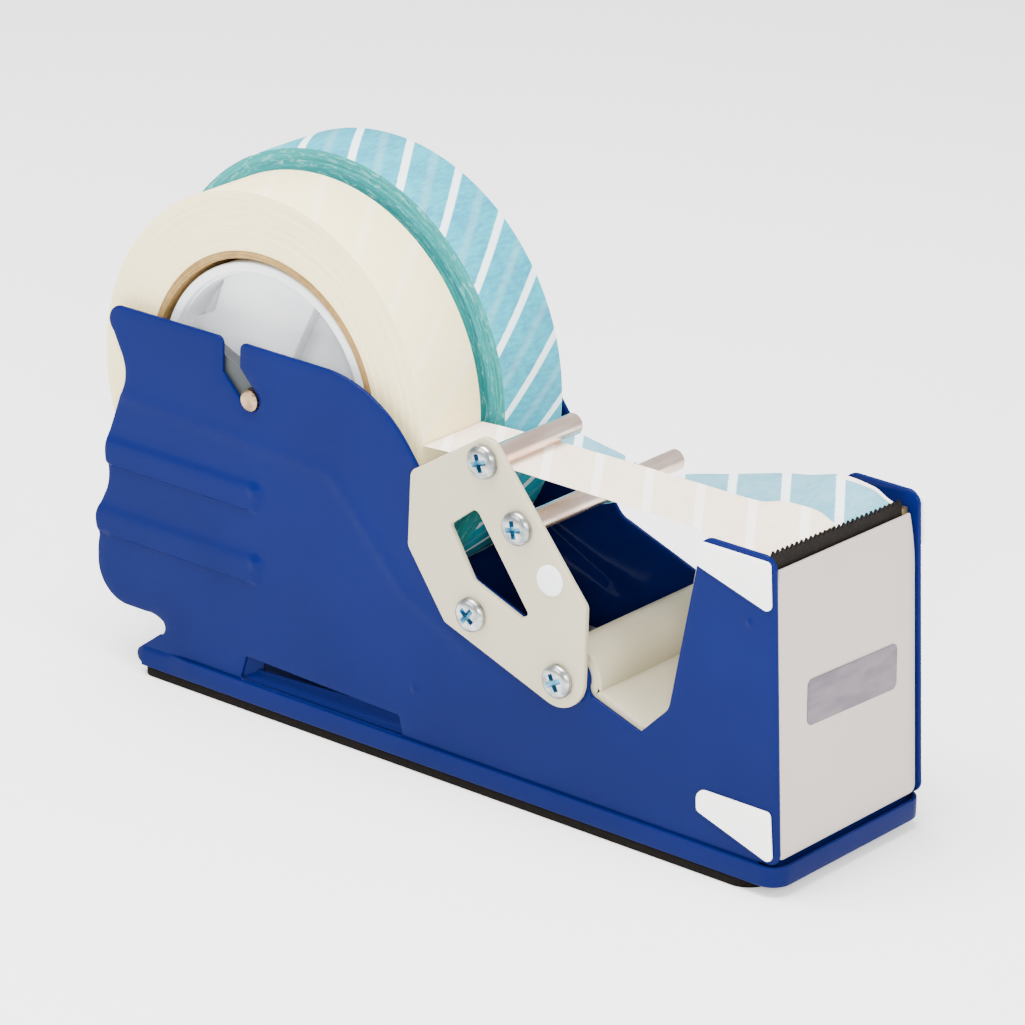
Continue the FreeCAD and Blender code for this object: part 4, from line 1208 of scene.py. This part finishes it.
def tape_ends():
    for side, line, shape, material in (("near", NEAR_LINE, near_shape, CREAM_STRIP),
                                        ("far", FAR_LINE, far_shape, TEAL_STRIP)):
        low, high, _ = ROLLS[side]
        at = curve_through(line)

        def point(share, across, low=low, high=high, at=at, shape=shape):
            x, z = at(share)
            drift, lift = shape(x, across)
            return Vector((x, high + (low - high) * across + drift, z + lift))
        made = ribbon(point, 110, 16, TAPE_THICK)
        piece(side + "_free_tape", *made, material, "frame", TAPE_SLOTS[side], [side + "_tape_end"], sharp=60)


# ---- CAD parts that stay as they are
def keep_cad_parts():
    """Finishes and softened edges on the nodes that no piece replaces."""
    finishes = {
        "base_ballast": IRON,
        "column_ballast": IRON,
        "blade_carrier": YELLOW,
        "blade_screws": ZINC,
        "bracket_clinch_nuts": ZINC,
    }
    for node, material in finishes.items():
        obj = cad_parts[node]
        obj.data.materials.clear()
        obj.data.materials.append(material)
        weld = obj.modifiers.new("weld", "WELD")
        weld.merge_threshold = 0.001 * MM
        bevel(obj, 0.15, 2)


# ---- room, light and camera
WHITE_LIGHT = (1.0, 1.0, 1.0, 1.0)


def room():
    """A pale floor that glows a little, under an even white sky."""
    size = 3.0
    corners = [(-size, -size, 0), (size, -size, 0), (size, size, 0), (-size, size, 0)]
    mesh = bpy.data.meshes.new("floor")
    mesh.from_pydata(corners, [], [(0, 1, 2, 3)])
    floor = linked("floor", mesh)
    f = Finish("pale_floor", 0.9)
    f.colour(f.mix(f.noise(3, 2), (250, 250, 250), (247, 247, 247)))
    f.shader.inputs["Emission Color"].default_value = WHITE_LIGHT
    f.shader.inputs["Emission Strength"].default_value = 0.3
    mesh.materials.append(f.material)
    world = bpy.data.worlds.new("studio")
    world.use_nodes = True
    sky = world.node_tree.nodes["Background"]
    sky.inputs["Color"].default_value = WHITE_LIGHT
    sky.inputs["Strength"].default_value = 1.15
    bpy.context.scene.world = world


def softbox(name, place, aim, size, power):
    """A square lamp of that size in metres, turned towards the aim."""
    lamp = bpy.data.lights.new(name, "AREA")
    lamp.shape, lamp.size, lamp.size_y, lamp.energy = "RECTANGLE", size, size, power
    obj = linked(name, lamp)
    obj.location = place
    obj.rotation_mode = "QUATERNION"
    obj.rotation_quaternion = (Vector(aim) - Vector(place)).to_track_quat("-Z", "Y")


def lights():
    middle = (0.0, 0.0, 0.06)
    softbox("overhead", (-0.1, -0.2, 1.1), middle, 0.8, 36.0)
    softbox("camera_left", (-0.5, -1.1, 0.7), middle, 0.7, 6.0)
    softbox("by_camera", (0.71, -0.86, 0.505), middle, 0.2, 9.0)
    softbox("blade_side", (1.2, -0.2, 0.6), middle, 0.7, 12.0)


AZIMUTH, ELEVATION, ROLL = math.radians(39.51), math.radians(21.77), math.radians(1.08)
DISTANCE, LENS, SENSOR = 1.5573, 203.6, 36.0
TARGET, TARGET_RIGHT, TARGET_UP = (0.010, 0.0, 0.060), -0.02155, 0.00273
SHIFT_RIGHT, SHIFT_UP = 0.0683, 0.0163


def camera():
    back = Vector((math.sin(AZIMUTH) * math.cos(ELEVATION), -math.cos(AZIMUTH) * math.cos(ELEVATION),
                   math.sin(ELEVATION)))
    right = Vector((math.cos(AZIMUTH), math.sin(AZIMUTH), 0.0))
    up = back.cross(right)
    aim = Vector(TARGET) + right * TARGET_RIGHT + up * TARGET_UP
    level = Matrix((right, up, back)).transposed()
    lens = bpy.data.cameras.new("camera")
    lens.sensor_width, lens.lens = SENSOR, LENS
    lens.shift_x, lens.shift_y = SHIFT_RIGHT, SHIFT_UP
    lens.clip_start, lens.clip_end = 0.05, 20.0
    obj = linked("camera", lens)
    turn = level @ Matrix.Rotation(ROLL, 3, "Z")
    obj.matrix_world = Matrix.Translation(aim + back * DISTANCE) @ turn.to_4x4()
    bpy.context.scene.camera = obj


# ---- build
side_plates()
louver_lips()
tray()
foot_pad()
front_cover()
blade()
label()
well_cover()
guide_bracket()
rods()
screws()
plug()
corner_pads()
axle()
for side_name, face_paint, edge_paint in (("near", CREAM_FACE, CREAM_SIDE), ("far", TEAL_FACE, TEAL_SIDE)):
    hub(side_name)
    core(side_name)
    tape_roll(side_name, face_paint, edge_paint)
tape_ends()
keep_cad_parts()
room()
lights()
camera()

bpy.context.view_layer.update()
